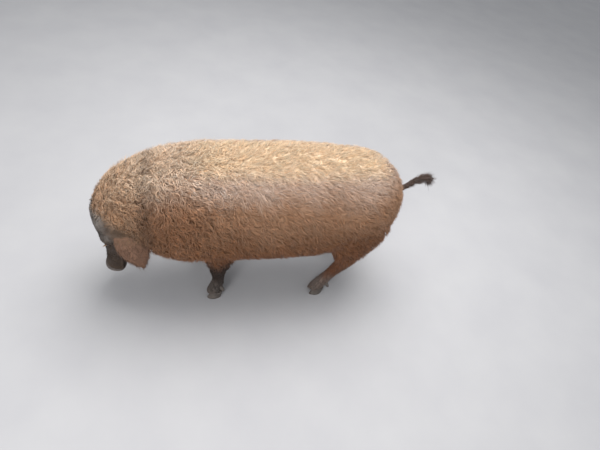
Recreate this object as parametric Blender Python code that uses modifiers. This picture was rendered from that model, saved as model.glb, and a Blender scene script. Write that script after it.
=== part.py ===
"""A life-size red woolly-coated farm pig, standing with its head lowered.

The pig faces -X, stands on Z = 0, and its left side is towards -Y. Lengths are in metres.
"Forward" is the distance from the back of the rump towards the snout, "out" the distance
sideways from the middle of the body, to the left where it is negative. The whole body is
modelled as one form and then parted by thin cuts into torso, neck, head, jaw and legs.
"""

import math

import bmesh
import bpy
import numpy as np
from mathutils import Matrix, Vector
from mathutils.bvhtree import BVHTree

# Driving sizes
RUMP_X = 0.66
GAP = 0.0003
SEED = 7
SHARP_ANGLE = math.radians(50)

# Fusing the body's forms, the faces left on the trunk's form and on the head's and legs'.
FUSE_VOXEL = 0.006
COARSE_FACES = 900
FINE_FACES = 7100
SOFTEN_STEPS = 70
SETTLE_STEPS = 3
# Softening fades out down the legs by height and down the face by distance along the head.
SOFT_LEG = (0.20, 0.30)
SOFT_FACE = (0.02, 0.12)
SOFT_LEAST = 0.12

# Trunk and neck: forward, height of the widest level, pitch of the section in degrees, then how
# far the flesh reaches above it, below it and to each side.
TRUNK = (
    (0.25, 0.477, 0, 0.221, 0.200, 0.201),
    (0.34, 0.470, 0, 0.237, 0.210, 0.211),
    (0.46, 0.466, 0, 0.246, 0.216, 0.216),
    (0.60, 0.464, 0, 0.246, 0.216, 0.216),
    (0.72, 0.464, 0, 0.241, 0.211, 0.209),
    (0.82, 0.462, 2, 0.237, 0.208, 0.199),
    (0.91, 0.457, 9, 0.228, 0.218, 0.187),
    (0.99, 0.446, 19, 0.212, 0.218, 0.171),
    (1.06, 0.430, 32, 0.184, 0.200, 0.151),
    (1.12, 0.412, 48, 0.144, 0.160, 0.126),
    (1.16, 0.385, 62, 0.080, 0.090, 0.080),
    (1.18, 0.360, 70, 0.025, 0.030, 0.025),
)
TRUNK_POWER = 2.2
RUMP_TIP_HEIGHT = 0.500
RUMP_ROWS = 7
RUMP_POWER = 2.15
RUMP_BACK = -0.016

# Head: the axis starts inside the skull and points down and forward to the snout.
HEAD_FORWARD = 1.138
HEAD_HEIGHT = 0.408
HEAD_PITCH = math.radians(79)
# Distance along the axis, then reach above, below and to each side.
HEAD = (
    (-0.10, 0.030, 0.040, 0.035),
    (-0.06, 0.086, 0.100, 0.094),
    (-0.01, 0.102, 0.128, 0.117),
    (0.045, 0.099, 0.126, 0.116),
    (0.10, 0.081, 0.110, 0.099),
    (0.15, 0.062, 0.091, 0.079),
    (0.20, 0.0495, 0.075, 0.064),
    (0.25, 0.0435, 0.063, 0.0545),
    (0.30, 0.0430, 0.050, 0.0485),
    (0.34, 0.0430, 0.046, 0.0480),
)
HEAD_POWER = 2.15
SNOUT_END = 0.2925

# Snout disc: how far along the head each ring lies, and the share of its full size there.
DISC_RINGS = ((0.0, 0.91), (0.004, 1.0), (0.0115, 1.0), (0.0150, 0.93))
DISC_UP = 0.0485
DISC_DOWN = 0.0395
DISC_HALF_WIDTH = 0.0515
DISC_POWER = 2.3
DISC_SIDES = 24
NOSTRIL_HALF_WIDTH = 0.0078
NOSTRIL_HALF_HEIGHT = 0.0100
NOSTRIL_OUT = 0.0185
NOSTRIL_UP = 0.003
NOSTRIL_DEPTH = 0.011
NOSTRIL_SIDES = 12

# Mouth: points along and above the head's axis, from the corner to the front, then the chin.
MOUTH = ((0.160, -0.012), (0.195, -0.021), (0.235, -0.027), (0.276, -0.030))
CHIN = ((0.275, -0.042), (0.264, -0.055), (0.240, -0.070), (0.200, -0.118))
JAW_BACK = (0.112, -0.118)
LIP_RADIUS = 0.0052
LIP_SIDES = 8
LIP_ENDS = (0.45, 0.8)
LIP_AHEAD = 0.004
# How far cutters and sight lines reach past the head.
PAST = 0.2

# Eyes: place on the head, and how deep the ball's middle lies under the skin.
EYE_RADIUS = 0.0125
EYE_ALONG = 0.092
EYE_UP = 0.050
EYE_DEPTH = 0.0075
LID_THICKNESS = 0.0034
LID_HALF_LENGTH = 0.0125
LID_HALF_HEIGHT = 0.0068
LID_CORNER = 0.3
LID_OPENING = (0.35, 2.0)
EYE_SIDES = 12
EYE_LEVELS = 9
LID_SIDES = 14

# Ears: points down the middle as forward, out and height, the leaf's width direction, and its
# widest half width. Each share of the length has a share of the width, half arc and thickness.
EAR_SPINE = (
    (1.134, 0.072, 0.462),
    (1.128, 0.116, 0.456),
    (1.114, 0.154, 0.416),
    (1.092, 0.174, 0.352),
    (1.068, 0.180, 0.286),
)
EAR_ACROSS = Vector((-0.97, 0.05, -0.22))
EAR_HALF_WIDTH = 0.066
EAR_RIM = 0.64
EAR_COLUMNS = 7
EAR_SHAPE = (
    (0.00, 0.42, 1.25, 0.0150),
    (0.20, 0.66, 1.10, 0.0105),
    (0.42, 0.95, 0.80, 0.0070),
    (0.62, 1.00, 0.60, 0.0056),
    (0.82, 0.66, 0.45, 0.0048),
    (0.94, 0.32, 0.35, 0.0042),
    (1.00, 0.08, 0.30, 0.0036),
)

# Legs: height, forward and outward offset from the foot, half length and half width.
FRONT_LEG = (
    (0.022, 0.020, 0.000, 0.0300, 0.0290),
    (0.040, 0.018, 0.000, 0.0300, 0.0290),
    (0.056, 0.012, 0.000, 0.0262, 0.0270),
    (0.085, 0.003, 0.000, 0.0265, 0.0265),
    (0.130, 0.000, 0.000, 0.0245, 0.0240),
    (0.175, 0.004, 0.000, 0.0325, 0.0300),
    (0.220, 0.000, 0.002, 0.0390, 0.0330),
    (0.270, -0.002, 0.002, 0.0520, 0.0390),
    (0.330, 0.006, -0.002, 0.0740, 0.0430),
    (0.410, 0.028, -0.008, 0.0950, 0.0440),
    (0.500, 0.052, -0.024, 0.0900, 0.0380),
    (0.580, 0.060, -0.050, 0.0500, 0.0260),
)
HIND_LEG = (
    (0.022, 0.018, 0.000, 0.0300, 0.0290),
    (0.040, 0.014, 0.000, 0.0300, 0.0290),
    (0.056, 0.006, 0.000, 0.0262, 0.0270),
    (0.085, -0.010, 0.000, 0.0268, 0.0265),
    (0.125, -0.032, 0.000, 0.0240, 0.0235),
    (0.170, -0.056, 0.000, 0.0300, 0.0265),
    (0.205, -0.074, 0.000, 0.0370, 0.0300),
    (0.240, -0.076, -0.002, 0.0480, 0.0350),
    (0.280, -0.070, -0.006, 0.0700, 0.0450),
    (0.340, -0.070, -0.012, 0.1050, 0.0560),
    (0.410, -0.070, -0.022, 0.1350, 0.0640),
    (0.490, -0.062, -0.045, 0.1350, 0.0600),
    (0.560, -0.055, -0.075, 0.0900, 0.0400),
)
# Each foot: its leg, forward, out, and how far the top of the leg is carried back.
FEET = {
    "front_left": (FRONT_LEG, 0.764, -0.126, 0.000),
    "front_right": (FRONT_LEG, 0.812, 0.124, 0.038),
    "hind_left": (HIND_LEG, 0.278, -0.142, 0.045),
    "hind_right": (HIND_LEG, 0.190, 0.138, -0.043),
}
CORONET = 0.040
LEG_TOP = 0.214
LEG_REACH_AHEAD = 0.095
LEG_REACH_BEHIND = 0.150
LEG_INNER = 0.030
LEG_OUTER = 0.300

# Toes: height, forward offset, half length and half width.
TOE = (
    (0.000, 0.0155, 0.0310, 0.0142),
    (0.010, 0.0150, 0.0308, 0.0146),
    (0.027, 0.0090, 0.0280, 0.0143),
    (0.040, 0.0040, 0.0250, 0.0134),
)
TOE_POINT = 0.35
TOE_SIDES = 12
TOE_CLEFT = 0.0035
TOE_SPLAY = math.radians(5)
# Dewclaws: share of the length, radius.
DEWCLAW = ((0.00, 0.0082), (0.35, 0.0088), (0.75, 0.0068), (1.00, 0.0032))
DEWCLAW_LENGTH = 0.036
DEWCLAW_HEIGHT = 0.082
DEWCLAW_OUT = 0.0165
DEWCLAW_ROOT = 0.012
DEWCLAW_SLOPE = math.radians(58)
DEWCLAW_SPREAD = 0.25
DEWCLAW_SIDES = 8

# Tail: points as back from the rump, out and height, and the radius there.
TAIL = (
    (-0.060, 0.000, 0.510, 0.024),
    (-0.015, 0.000, 0.520, 0.021),
    (0.025, 0.001, 0.532, 0.0165),
    (0.062, 0.005, 0.550, 0.0130),
    (0.096, 0.012, 0.568, 0.0110),
    (0.130, 0.022, 0.577, 0.0090),
    (0.160, 0.032, 0.573, 0.0065),
    (0.184, 0.040, 0.560, 0.0030),
)
TAIL_SIDES = 8

# Cuts across the body: forward, height and pitch of the plane.
NECK_CUT = (0.905, 0.455, math.radians(10))
HEAD_CUT = (1.045, 0.430, math.radians(24))

# Coat depths and where they change
COAT_FLANK = 0.022
COAT_NECK = 0.031
COAT_LEG = 0.004
COAT_FACE = 0.0025
NECK_FADE = (0.62, 0.88)
LEG_FADE = (0.150, 0.340)
BELLY_FADE = (0.050, 0.105)
BELLY_HEIGHT = (0.170, 0.215)
FACE_FADE = (-0.040, 0.085)
FACE_FORWARD = (1.02, 1.10)

# Clumps of the coat: the core under them, their number, size and the way they lie.
CORE_SHARE = 0.38
CLUMPED_DEPTH = (0.0095, 0.0150)
CLUMP_COUNT = 96
CLUMP_SAMPLES = 4000
CLUMP_HALF_LENGTH = 0.088
CLUMP_HALF_WIDTH = 0.071
CLUMP_SIDES = 6
# Each ring's height as a share of the way from the core to the tip, and its share of the width.
CLUMP_RINGS = ((-0.55, 0.74), (0.08, 1.00), (0.76, 0.68))
CLUMP_LEAN = 0.24
CLUMP_TURN = math.radians(30)
CLUMP_SIZE_RANGE = (0.88, 1.14)
CLUMP_TIP_RANGE = (0.92, 1.16)
FREE_HEIGHT = 0.016
CLUMP_FITS = (1.0, 0.78, 0.60)
CLUMP_SHARE = (0.62, 1.0)
CLUMP_FACING = 0.35
COAT_LIE = Vector((0.9, 0.0, -0.45))

# Tassel: locks on the tail, between these shares of its length.
LOCK_COUNT = 10
LOCK_START = (0.40, 0.88)
LOCK_LENGTH = 0.072
LOCK_HALF_WIDTH = 0.0125
LOCK_HALF_THICKNESS = 0.0032
LOCK_SPREAD = 0.30
LOCK_DROOP = 0.55
LOCK_RINGS = 3
LOCK_TURN = 2.4
LOCK_ROOT = 0.4
# How much narrower and thinner a lock gets towards its tip
LOCK_TAPER = (0.75, 0.6)

# Colour and roughness of each kind of part
LOOKS = {
    "coat": ((0.37, 0.20, 0.115), 0.9),
    "coat_neck": ((0.30, 0.15, 0.085), 0.9),
    "face": ((0.20, 0.125, 0.085), 0.85),
    "leg": ((0.11, 0.055, 0.032), 0.85),
    "ear": ((0.22, 0.11, 0.075), 0.7),
    "disc": ((0.10, 0.085, 0.08), 0.5),
    "eye": ((0.012, 0.008, 0.006), 0.1),
    "hoof": ((0.035, 0.028, 0.024), 0.45),
    "tail": ((0.16, 0.075, 0.045), 0.85),
}

HEAD_AXIS = Vector((-math.cos(HEAD_PITCH), 0, -math.sin(HEAD_PITCH)))
HEAD_UP = Vector((-math.sin(HEAD_PITCH), 0, math.cos(HEAD_PITCH)))
HEAD_ORIGIN = Vector((RUMP_X - HEAD_FORWARD, 0, HEAD_HEIGHT))


def head_point(along, up, out):
    """A point of the head from its distance along the axis, above it and out from it."""
    return HEAD_ORIGIN + HEAD_AXIS * along + HEAD_UP * up + Vector((0, out, 0))


def body_point(forward, out, height):
    return Vector((RUMP_X - forward, out, height))


def fade(value, start, end):
    """0 before start, 1 past end, and an even S-curve between."""
    share = min(1.0, max(0.0, (value - start) / (end - start)))
    return share * share * (3 - 2 * share)


def smooth_rows(rows, steps):
    """The rows of a table with steps - 1 rows added in each gap, on a Catmull-Rom curve."""
    table = np.array(rows, float)
    padded = np.vstack((2 * table[0] - table[1], table, 2 * table[-1] - table[-2]))
    made = []
    for i in range(1, len(padded) - 2):
        a, b, c, d = padded[i - 1 : i + 3]
        for k in range(steps):
            t = k / steps
            made.append(
                b
                + 0.5 * t * (c - a)
                + t * t * (a - 2.5 * b + 2 * c - 0.5 * d)
                + 0.5 * t**3 * (3 * b - 3 * c + d - a)
            )
    made.append(table[-1])
    return np.array(made)


def section(up, down, half_width, power, count):
    """Sideways and upward reach of each point round a superellipse."""
    turn = np.linspace(0, 2 * math.pi, count, endpoint=False)
    side = np.sign(np.cos(turn)) * np.abs(np.cos(turn)) ** (2 / power) * half_width
    rise = np.sign(np.sin(turn)) * np.abs(np.sin(turn)) ** (2 / power)
    return side, np.where(rise > 0, rise * up, rise * down)


def mesh_object(name, points, faces):
    """A mesh object of triangles that face outwards."""
    mesh = bpy.data.meshes.new(name)
    mesh.from_pydata([tuple(p) for p in points], [], faces)
    shell = bmesh.new()
    shell.from_mesh(mesh)
    bmesh.ops.triangulate(shell, faces=shell.faces)
    bmesh.ops.recalc_face_normals(shell, faces=shell.faces)
    shell.to_mesh(mesh)
    shell.free()
    obj = bpy.data.objects.new(name, mesh)
    bpy.context.scene.collection.objects.link(obj)
    return obj


def loft(name, rings, tip=None):
    """A closed skin through rings of equal point counts, ending in a cap or a pointed tip."""
    count = len(rings[0])
    faces = []
    for i in range(len(rings) - 1):
        low = i * count
        high = low + count
        for k in range(count):
            after = (k + 1) % count
            faces.append((low + k, low + after, high + after, high + k))
    faces.append(tuple(range(count)))
    last = (len(rings) - 1) * count
    if tip is None:
        faces.append(tuple(range(last, last + count)))
        return mesh_object(name, np.vstack(rings), faces)
    for k in range(count):
        faces.append((last + k, last + (k + 1) % count, last + count))
    return mesh_object(name, np.vstack([*rings, [tip]]), faces)


def tube(name, points, radii, sides):
    """A round tube of changing radius through the points."""
    points = [Vector(p) for p in points]
    rings = []
    across = None
    for i, point in enumerate(points):
        way = (points[min(i + 1, len(points) - 1)] - points[max(i - 1, 0)]).normalized()
        guide = across if across else (Vector((0, 0, 1)) if abs(way.z) < 0.9 else Vector((0, 1, 0)))
        across = (guide - way * guide.dot(way)).normalized()
        other = way.cross(across)
        ring = []
        for k in range(sides):
            turn = 2 * math.pi * k / sides
            ring.append(point + (across * math.cos(turn) + other * math.sin(turn)) * radii[i])
        rings.append(ring)
    return loft(name, rings)


def copy_of(obj, name):
    twin = obj.copy()
    twin.data = obj.data.copy()
    twin.name = name
    bpy.context.scene.collection.objects.link(twin)
    return twin


def apply_modifiers(obj):
    bpy.context.view_layer.update()
    graph = bpy.context.evaluated_depsgraph_get()
    mesh = bpy.data.meshes.new_from_object(obj.evaluated_get(graph))
    obj.modifiers.clear()
    obj.data = mesh


def join(name, objects):
    """One object holding the meshes of several, which are removed."""
    shell = bmesh.new()
    for obj in objects:
        shell.from_mesh(obj.data)
        bpy.data.objects.remove(obj)
    mesh = bpy.data.meshes.new(name)
    shell.to_mesh(mesh)
    shell.free()
    joined = bpy.data.objects.new(name, mesh)
    bpy.context.scene.collection.objects.link(joined)
    return joined


def core_depth(point):
    """How far the smooth core under the clumps stands off the flesh."""
    depth = coat_depth(point)
    return depth * (1 - (1 - CORE_SHARE) * fade(depth, *CLUMPED_DEPTH))


def grow(obj, depth):
    """Moves each vertex out along its normal by the depth there."""
    normals = [v.normal.copy() for v in obj.data.vertices]
    for v, normal in zip(obj.data.vertices, normals):
        v.co += normal * depth(v.co)


def thin(obj, face_count):
    """Thins the mesh to about this many triangles."""
    modifier = obj.modifiers.new("thin", "DECIMATE")
    triangles = sum(len(face.vertices) - 2 for face in obj.data.polygons)
    modifier.ratio = min(1.0, face_count / triangles)
    apply_modifiers(obj)


def boolean(obj, operation, others, solver="EXACT"):
    """Joins, cuts or keeps what is common with the other objects, which are removed."""
    tools = bpy.data.collections.new("tools")
    for other in others:
        tools.objects.link(other)
    modifier = obj.modifiers.new(operation.lower(), "BOOLEAN")
    modifier.operation = operation
    modifier.operand_type = "COLLECTION"
    modifier.collection = tools
    modifier.solver = solver
    apply_modifiers(obj)
    for other in others:
        bpy.data.objects.remove(other)
    bpy.data.collections.remove(tools)


def keep_largest(obj):
    """Keeps the closed surface that reaches furthest and drops every other one."""
    shell = bmesh.new()
    shell.from_mesh(obj.data)
    shell.verts.ensure_lookup_table()
    seen = set()
    pieces = []
    for start in shell.verts:
        if start in seen:
            continue
        piece = [start]
        seen.add(start)
        for vert in piece:
            for edge in vert.link_edges:
                other = edge.other_vert(vert)
                if other not in seen:
                    seen.add(other)
                    piece.append(other)
        pieces.append(piece)

    def reach(piece):
        points = np.array([tuple(v.co) for v in piece])
        return float(np.prod(np.ptp(points, axis=0) + GAP))

    largest = max(pieces, key=reach)
    others = [v for piece in pieces if piece is not largest for v in piece]
    bmesh.ops.delete(shell, geom=others, context="VERTS")
    shell.to_mesh(obj.data)
    shell.free()


def box(name, low, high):
    """A box between two corners."""
    shell = bmesh.new()
    size = Vector(high) - Vector(low)
    matrix = Matrix.Translation((Vector(low) + Vector(high)) / 2) @ Matrix.Diagonal((*size, 1))
    bmesh.ops.create_cube(shell, size=1.0, matrix=matrix)
    mesh = bpy.data.meshes.new(name)
    shell.to_mesh(mesh)
    shell.free()
    obj = bpy.data.objects.new(name, mesh)
    bpy.context.scene.collection.objects.link(obj)
    return obj


def side_of_cut(cut, ahead):
    """A large box that fills one side of a cut across the body, half a gap past its plane."""
    forward, height, pitch = cut
    size = 2.0
    normal = Vector((-math.cos(pitch), 0, -math.sin(pitch)))
    if not ahead:
        normal.negate()
    block = box("side", (-size / 2,) * 3, (size / 2,) * 3)
    middle = body_point(forward, 0, height) + normal * (size / 2 - GAP / 2)
    across = Vector((0, 1, 0))
    turn = Matrix((normal, across, normal.cross(across))).transposed()
    block.data.transform(Matrix.Translation(middle) @ turn.to_4x4())
    return block


def trunk_ring(row, count):
    """One section of the trunk or neck, in a plane that tilts with the row's pitch."""
    forward, height, pitch, up, down, half_width = row
    pitch = math.radians(pitch)
    side, rise = section(up, down, half_width, TRUNK_POWER, count)
    x = RUMP_X - forward - rise * math.sin(pitch)
    return np.column_stack((x, side, height + rise * math.cos(pitch)))


def rump_rows(first):
    """Rows that round off the rump, as a quarter of a superellipse, up to the trunk's first."""
    first = np.array(first, float)
    rows = []
    for i in range(1, RUMP_ROWS):
        turn = math.pi / 2 * i / RUMP_ROWS
        inward = math.cos(turn) ** (2 / RUMP_POWER)
        forward = first[0] + (RUMP_BACK - first[0]) * inward
        height = first[1] + (RUMP_TIP_HEIGHT - first[1]) * inward
        rows.append((forward, height, 0, *(first[3:] * math.sin(turn) ** (2 / RUMP_POWER))))
    return rows


def make_trunk(count=36):
    rows = np.vstack((rump_rows(TRUNK[0]), smooth_rows(TRUNK, 4)))
    return loft("trunk", [trunk_ring(row, count) for row in rows])


def make_head_form(count=32):
    rings = []
    for along, up, down, half_width in smooth_rows(HEAD, 4):
        side, rise = section(up, down, half_width, HEAD_POWER, count)
        rings.append([head_point(along, r, s) for s, r in zip(side, rise)])
    return loft("head_form", rings)


def make_leg_form(name, count=24):
    """The flesh of one leg, from below the coronet up into the body."""
    rows, forward, out, carried = FEET[name]
    side = math.copysign(1, out)
    top = rows[-1][0]
    rings = []
    for height, ahead, outward, half_length, half_width in smooth_rows(rows, 3):
        back = carried * fade(height, CORONET, top)
        turn = np.linspace(0, 2 * math.pi, count, endpoint=False)
        x = RUMP_X - (forward + ahead - back) + half_length * np.cos(turn)
        y = out + side * outward + half_width * np.sin(turn)
        rings.append(np.column_stack((x, y, np.full(count, height))))
    return loft("leg_form", rings)


def softness(point):
    """How strongly the fused form is smoothed: fully on the trunk, little on legs and snout."""
    along = (Vector(point) - HEAD_ORIGIN).dot(HEAD_AXIS)
    leg = fade(point[2], *SOFT_LEG)
    face = fade(along, *SOFT_FACE) * fade(RUMP_X - point[0], *FACE_FORWARD)
    return max(SOFT_LEAST, leg * (1 - face))


def coat_depth(point):
    """How far the coat stands off the flesh at a point of the body."""
    forward = RUMP_X - point[0]
    along = (Vector(point) - HEAD_ORIGIN).dot(HEAD_AXIS)
    depth = COAT_FLANK + (COAT_NECK - COAT_FLANK) * fade(forward, *NECK_FADE)
    belly = fade(point[2], *BELLY_HEIGHT) * (1 - fade(abs(point[1]), *BELLY_FADE))
    depth = COAT_LEG + (depth - COAT_LEG) * max(belly, fade(point[2], *LEG_FADE))
    face = fade(along, *FACE_FADE) * fade(forward, *FACE_FORWARD)
    return depth + (COAT_FACE - depth) * face


def remesh(obj):
    """Fuses overlapping shells into one skin of even faces."""
    modifier = obj.modifiers.new("fuse", "REMESH")
    modifier.mode = "VOXEL"
    modifier.voxel_size = FUSE_VOXEL
    apply_modifiers(obj)


def fuse(obj):
    """Fuses the body's forms, softens them where they meet and grows them by the coat."""
    remesh(obj)
    group = obj.vertex_groups.new(name="soft")
    for vertex in obj.data.vertices:
        group.add([vertex.index], softness(vertex.co), "REPLACE")
    smooth = obj.modifiers.new("soften", "SMOOTH")
    smooth.vertex_group = "soft"
    smooth.iterations = SOFTEN_STEPS
    smooth.factor = 0.5
    apply_modifiers(obj)
    grow(obj, core_depth)
    remesh(obj)
    settle = obj.modifiers.new("settle", "SMOOTH")
    settle.iterations = SETTLE_STEPS
    settle.factor = 0.5
    apply_modifiers(obj)


def skin_hit(tree, start, way):
    """Where a line from outside meets the skin, and the skin's direction there."""
    place, normal, _, _ = tree.ray_cast(start, way)
    return place, normal


def outline_block(name, outline, half_width):
    """A block across the head with the given side outline of along and up pairs."""
    rings = []
    for out in (-half_width, half_width):
        rings.append([head_point(along, up, out) for along, up in outline])
    return loft(name, rings)


def jaw_outline(inset):
    """The side outline of the jaw's part of the head, drawn in by the inset at the mouth."""
    mouth = [(along + inset, up - inset) for along, up in MOUTH]
    return mouth + list(CHIN) + [(JAW_BACK[0] + inset, JAW_BACK[1])]


def add_lips(head, tree):
    """A low ridge on both sides of the mouth, from one corner round the front to the other."""
    left = []
    for along, up in smooth_rows(MOUTH, 3):
        place, _ = skin_hit(tree, head_point(along, up, -PAST), Vector((0, 1, 0)))
        left.append(place)
    right = [Vector((p.x, -p.y, p.z)) for p in reversed(left)]
    front = head_point(MOUTH[-1][0] + LIP_AHEAD, MOUTH[-1][1], 0)
    path = left + [front] + right
    radii = [LIP_RADIUS] * len(path)
    for i, share in enumerate(LIP_ENDS):
        radii[i] *= share
        radii[-1 - i] *= share
    boolean(head, "UNION", [tube("lips", path, radii, LIP_SIDES)])


def ball(name, middle, radius, segments, rings):
    """A sphere."""
    shell = bmesh.new()
    matrix = Matrix.Translation(middle)
    bmesh.ops.create_uvsphere(
        shell, u_segments=segments, v_segments=rings, radius=radius, matrix=matrix
    )
    mesh = bpy.data.meshes.new(name)
    shell.to_mesh(mesh)
    shell.free()
    obj = bpy.data.objects.new(name, mesh)
    bpy.context.scene.collection.objects.link(obj)
    return obj


def make_eye(head, tree, name, side):
    """Adds one eye in its socket, under two lids that leave an almond opening."""
    place, normal = skin_hit(
        tree, head_point(EYE_ALONG, EYE_UP, PAST * side), Vector((0, -side, 0))
    )
    middle = place - normal * EYE_DEPTH
    lid = ball("lid", middle, EYE_RADIUS + LID_THICKNESS, LID_SIDES, EYE_LEVELS)
    boolean(head, "UNION", [lid])
    socket = ball("socket", middle, EYE_RADIUS + GAP, EYE_SIDES, EYE_LEVELS)
    boolean(head, "DIFFERENCE", [socket])
    long_way = (HEAD_AXIS - normal * HEAD_AXIS.dot(normal)).normalized()
    high_way = normal.cross(long_way)
    rings = []
    for share in LID_OPENING:
        ring = []
        for k in range(LID_SIDES):
            turn = 2 * math.pi * k / LID_SIDES
            across = LID_HALF_LENGTH * math.cos(turn)
            rise = LID_HALF_HEIGHT * math.sin(turn) * abs(math.sin(turn)) ** LID_CORNER
            ring.append(middle + normal * (EYE_RADIUS * share) + long_way * across + high_way * rise)
        rings.append(ring)
    boolean(head, "DIFFERENCE", [loft("opening", rings)])
    return ball(name, middle, EYE_RADIUS, EYE_SIDES, EYE_LEVELS)


def make_ear(name, side):
    """A cupped leaf that hangs beside the face, thick at its root and thin at its tip."""
    spine = smooth_rows(EAR_SPINE, 3)
    shares = np.linspace(0, 1, len(spine))
    shape = np.array(EAR_SHAPE)
    rings = []
    for i, share in enumerate(shares):
        forward, out, height = spine[i]
        middle = body_point(forward, out * side, height)
        after = spine[min(i + 1, len(spine) - 1)]
        before = spine[max(i - 1, 0)]
        step = after - before
        way = Vector((-step[0], step[1] * side, step[2])).normalized()
        guide = Vector((EAR_ACROSS.x, EAR_ACROSS.y * side, EAR_ACROSS.z))
        across = (guide - way * guide.dot(way)).normalized()
        outward = across.cross(way)
        if outward.y * side < 0:
            outward.negate()
        half_width = np.interp(share, shape[:, 0], shape[:, 1]) * EAR_HALF_WIDTH
        arc = np.interp(share, shape[:, 0], shape[:, 2])
        thickness = np.interp(share, shape[:, 0], shape[:, 3])
        radius = half_width / arc
        outer = []
        inner = []
        for t in np.linspace(-1, 1, EAR_COLUMNS):
            turn = arc * t
            facing = across * math.sin(turn) + outward * math.cos(turn)
            place = middle + across * (radius * math.sin(turn))
            place -= outward * (radius * (1 - math.cos(turn)))
            half = thickness / 2 * (EAR_RIM + (1 - EAR_RIM) * (1 - t * t))
            outer.append(place + facing * half)
            inner.append(place - facing * half)
        rings.append(outer + inner[::-1])
    return loft(name, rings)


def seat(piece, hosts):
    """Trims the root of a piece so that it meets its hosts face to face, a gap apart."""
    grown = [copy_of(host, "seat") for host in hosts]
    for host in grown:
        grow(host, lambda _: GAP)
    boolean(piece, "DIFFERENCE", grown, "MANIFOLD")
    keep_largest(piece)


def make_disc():
    """The bare disc at the end of the snout, with two nostrils."""
    rings = []
    for ahead, share in DISC_RINGS:
        reach = (DISC_UP * share, DISC_DOWN * share, DISC_HALF_WIDTH * share)
        side, rise = section(*reach, DISC_POWER, DISC_SIDES)
        along = SNOUT_END + GAP + ahead
        rings.append([head_point(along, r, s) for s, r in zip(side, rise)])
    disc = loft("snout_disc", rings)
    front = SNOUT_END + GAP + DISC_RINGS[-1][0]
    nostrils = []
    for side in (-1, 1):
        cutter = []
        for along in (front - NOSTRIL_DEPTH, front + NOSTRIL_DEPTH):
            reach = (NOSTRIL_HALF_HEIGHT, NOSTRIL_HALF_HEIGHT, NOSTRIL_HALF_WIDTH)
            spread, rise = section(*reach, 2, NOSTRIL_SIDES)
            out = NOSTRIL_OUT * side
            cutter.append([head_point(along, NOSTRIL_UP + r, out + s) for s, r in zip(spread, rise)])
        nostrils.append(loft("nostril", cutter))
    boolean(disc, "DIFFERENCE", nostrils)
    return disc


def make_toe(name, foot, side):
    """One half of a cloven hoof, flat on the floor and flat under the leg."""
    _, forward, out, _ = FEET[foot]
    rings = []
    for height, ahead, half_length, half_width in TOE:
        ring = []
        for k in range(TOE_SIDES):
            turn = 2 * math.pi * k / TOE_SIDES
            front = max(0.0, math.cos(turn))
            x = -(ahead + half_length * math.cos(turn))
            y = half_width * math.sin(turn) * (1 - TOE_POINT * front * front)
            ring.append(Vector((x, y, height)))
        rings.append(ring)
    toe = loft(name, rings)
    place = body_point(forward, out + side * (TOE[1][3] + TOE_CLEFT / 2), 0)
    toe.data.transform(Matrix.Rotation(-side * TOE_SPLAY, 4, "Z"))
    toe.location = place
    return toe


def make_dewclaw(name, foot, side, leg):
    """A small claw behind the pastern, clear of the floor."""
    rows, forward, out, carried = FEET[foot]
    table = np.array(rows)
    ahead = np.interp(DEWCLAW_HEIGHT, table[:, 0], table[:, 1])
    back = carried * fade(DEWCLAW_HEIGHT, CORONET, rows[-1][0])
    root = forward + ahead - back - DEWCLAW_ROOT
    start = body_point(root, out + side * DEWCLAW_OUT, DEWCLAW_HEIGHT)
    way = Vector((math.cos(DEWCLAW_SLOPE), side * DEWCLAW_SPREAD, -math.sin(DEWCLAW_SLOPE)))
    way.normalize()
    points = [start + way * (share * DEWCLAW_LENGTH) for share, _ in DEWCLAW]
    claw = tube(name, points, [radius for _, radius in DEWCLAW], DEWCLAW_SIDES)
    seat(claw, [leg])
    return claw


def make_tail():
    """The tail, carried back and a little up, swelling at its end where the tassel hangs."""
    rows = smooth_rows(TAIL, 2)
    points = [Vector((RUMP_X + back, out, height)) for back, out, height, _ in rows]
    tail = tube("tail", points, rows[:, 3], TAIL_SIDES)
    add_locks(tail, points, rows[:, 3])
    return tail


def clump_share(point):
    """The share of its full width that a clump has here, smaller where the coat gets short."""
    return min(CLUMP_SHARE[1], max(CLUMP_SHARE[0], coat_depth(point) / COAT_FLANK))


def even_sites(form, rng):
    """Places spread evenly over the woolly part of the form, with the surface's direction."""
    form.data.calc_loop_triangles()
    vertices = np.array([tuple(v.co) for v in form.data.vertices])
    triangles = np.array([t.vertices[:] for t in form.data.loop_triangles])
    corners = vertices[triangles]
    normals = np.cross(corners[:, 1] - corners[:, 0], corners[:, 2] - corners[:, 0])
    areas = np.linalg.norm(normals, axis=1)
    chosen = rng.choice(len(triangles), CLUMP_SAMPLES, p=areas / areas.sum())
    weight = rng.random((CLUMP_SAMPLES, 2))
    weight = np.where(weight.sum(axis=1, keepdims=True) > 1, 1 - weight, weight)
    first = corners[chosen, 0]
    sides = corners[chosen, 1:] - first[:, None]
    points = first + (sides * weight[:, :, None]).sum(axis=1)
    woolly = np.array([coat_depth(p) > CLUMPED_DEPTH[1] for p in points])
    points = points[woolly]
    normals = (normals[chosen] / areas[chosen, None])[woolly]
    shares = np.array([clump_share(p) for p in points])
    picked = [0]
    nearest = np.linalg.norm(points - points[0], axis=1) / shares
    while len(picked) < CLUMP_COUNT:
        furthest = int(nearest.argmax())
        picked.append(furthest)
        away = np.linalg.norm(points - points[furthest], axis=1) / shares
        nearest = np.minimum(nearest, away)
    return [(Vector(points[i]), Vector(normals[i])) for i in picked]


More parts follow.
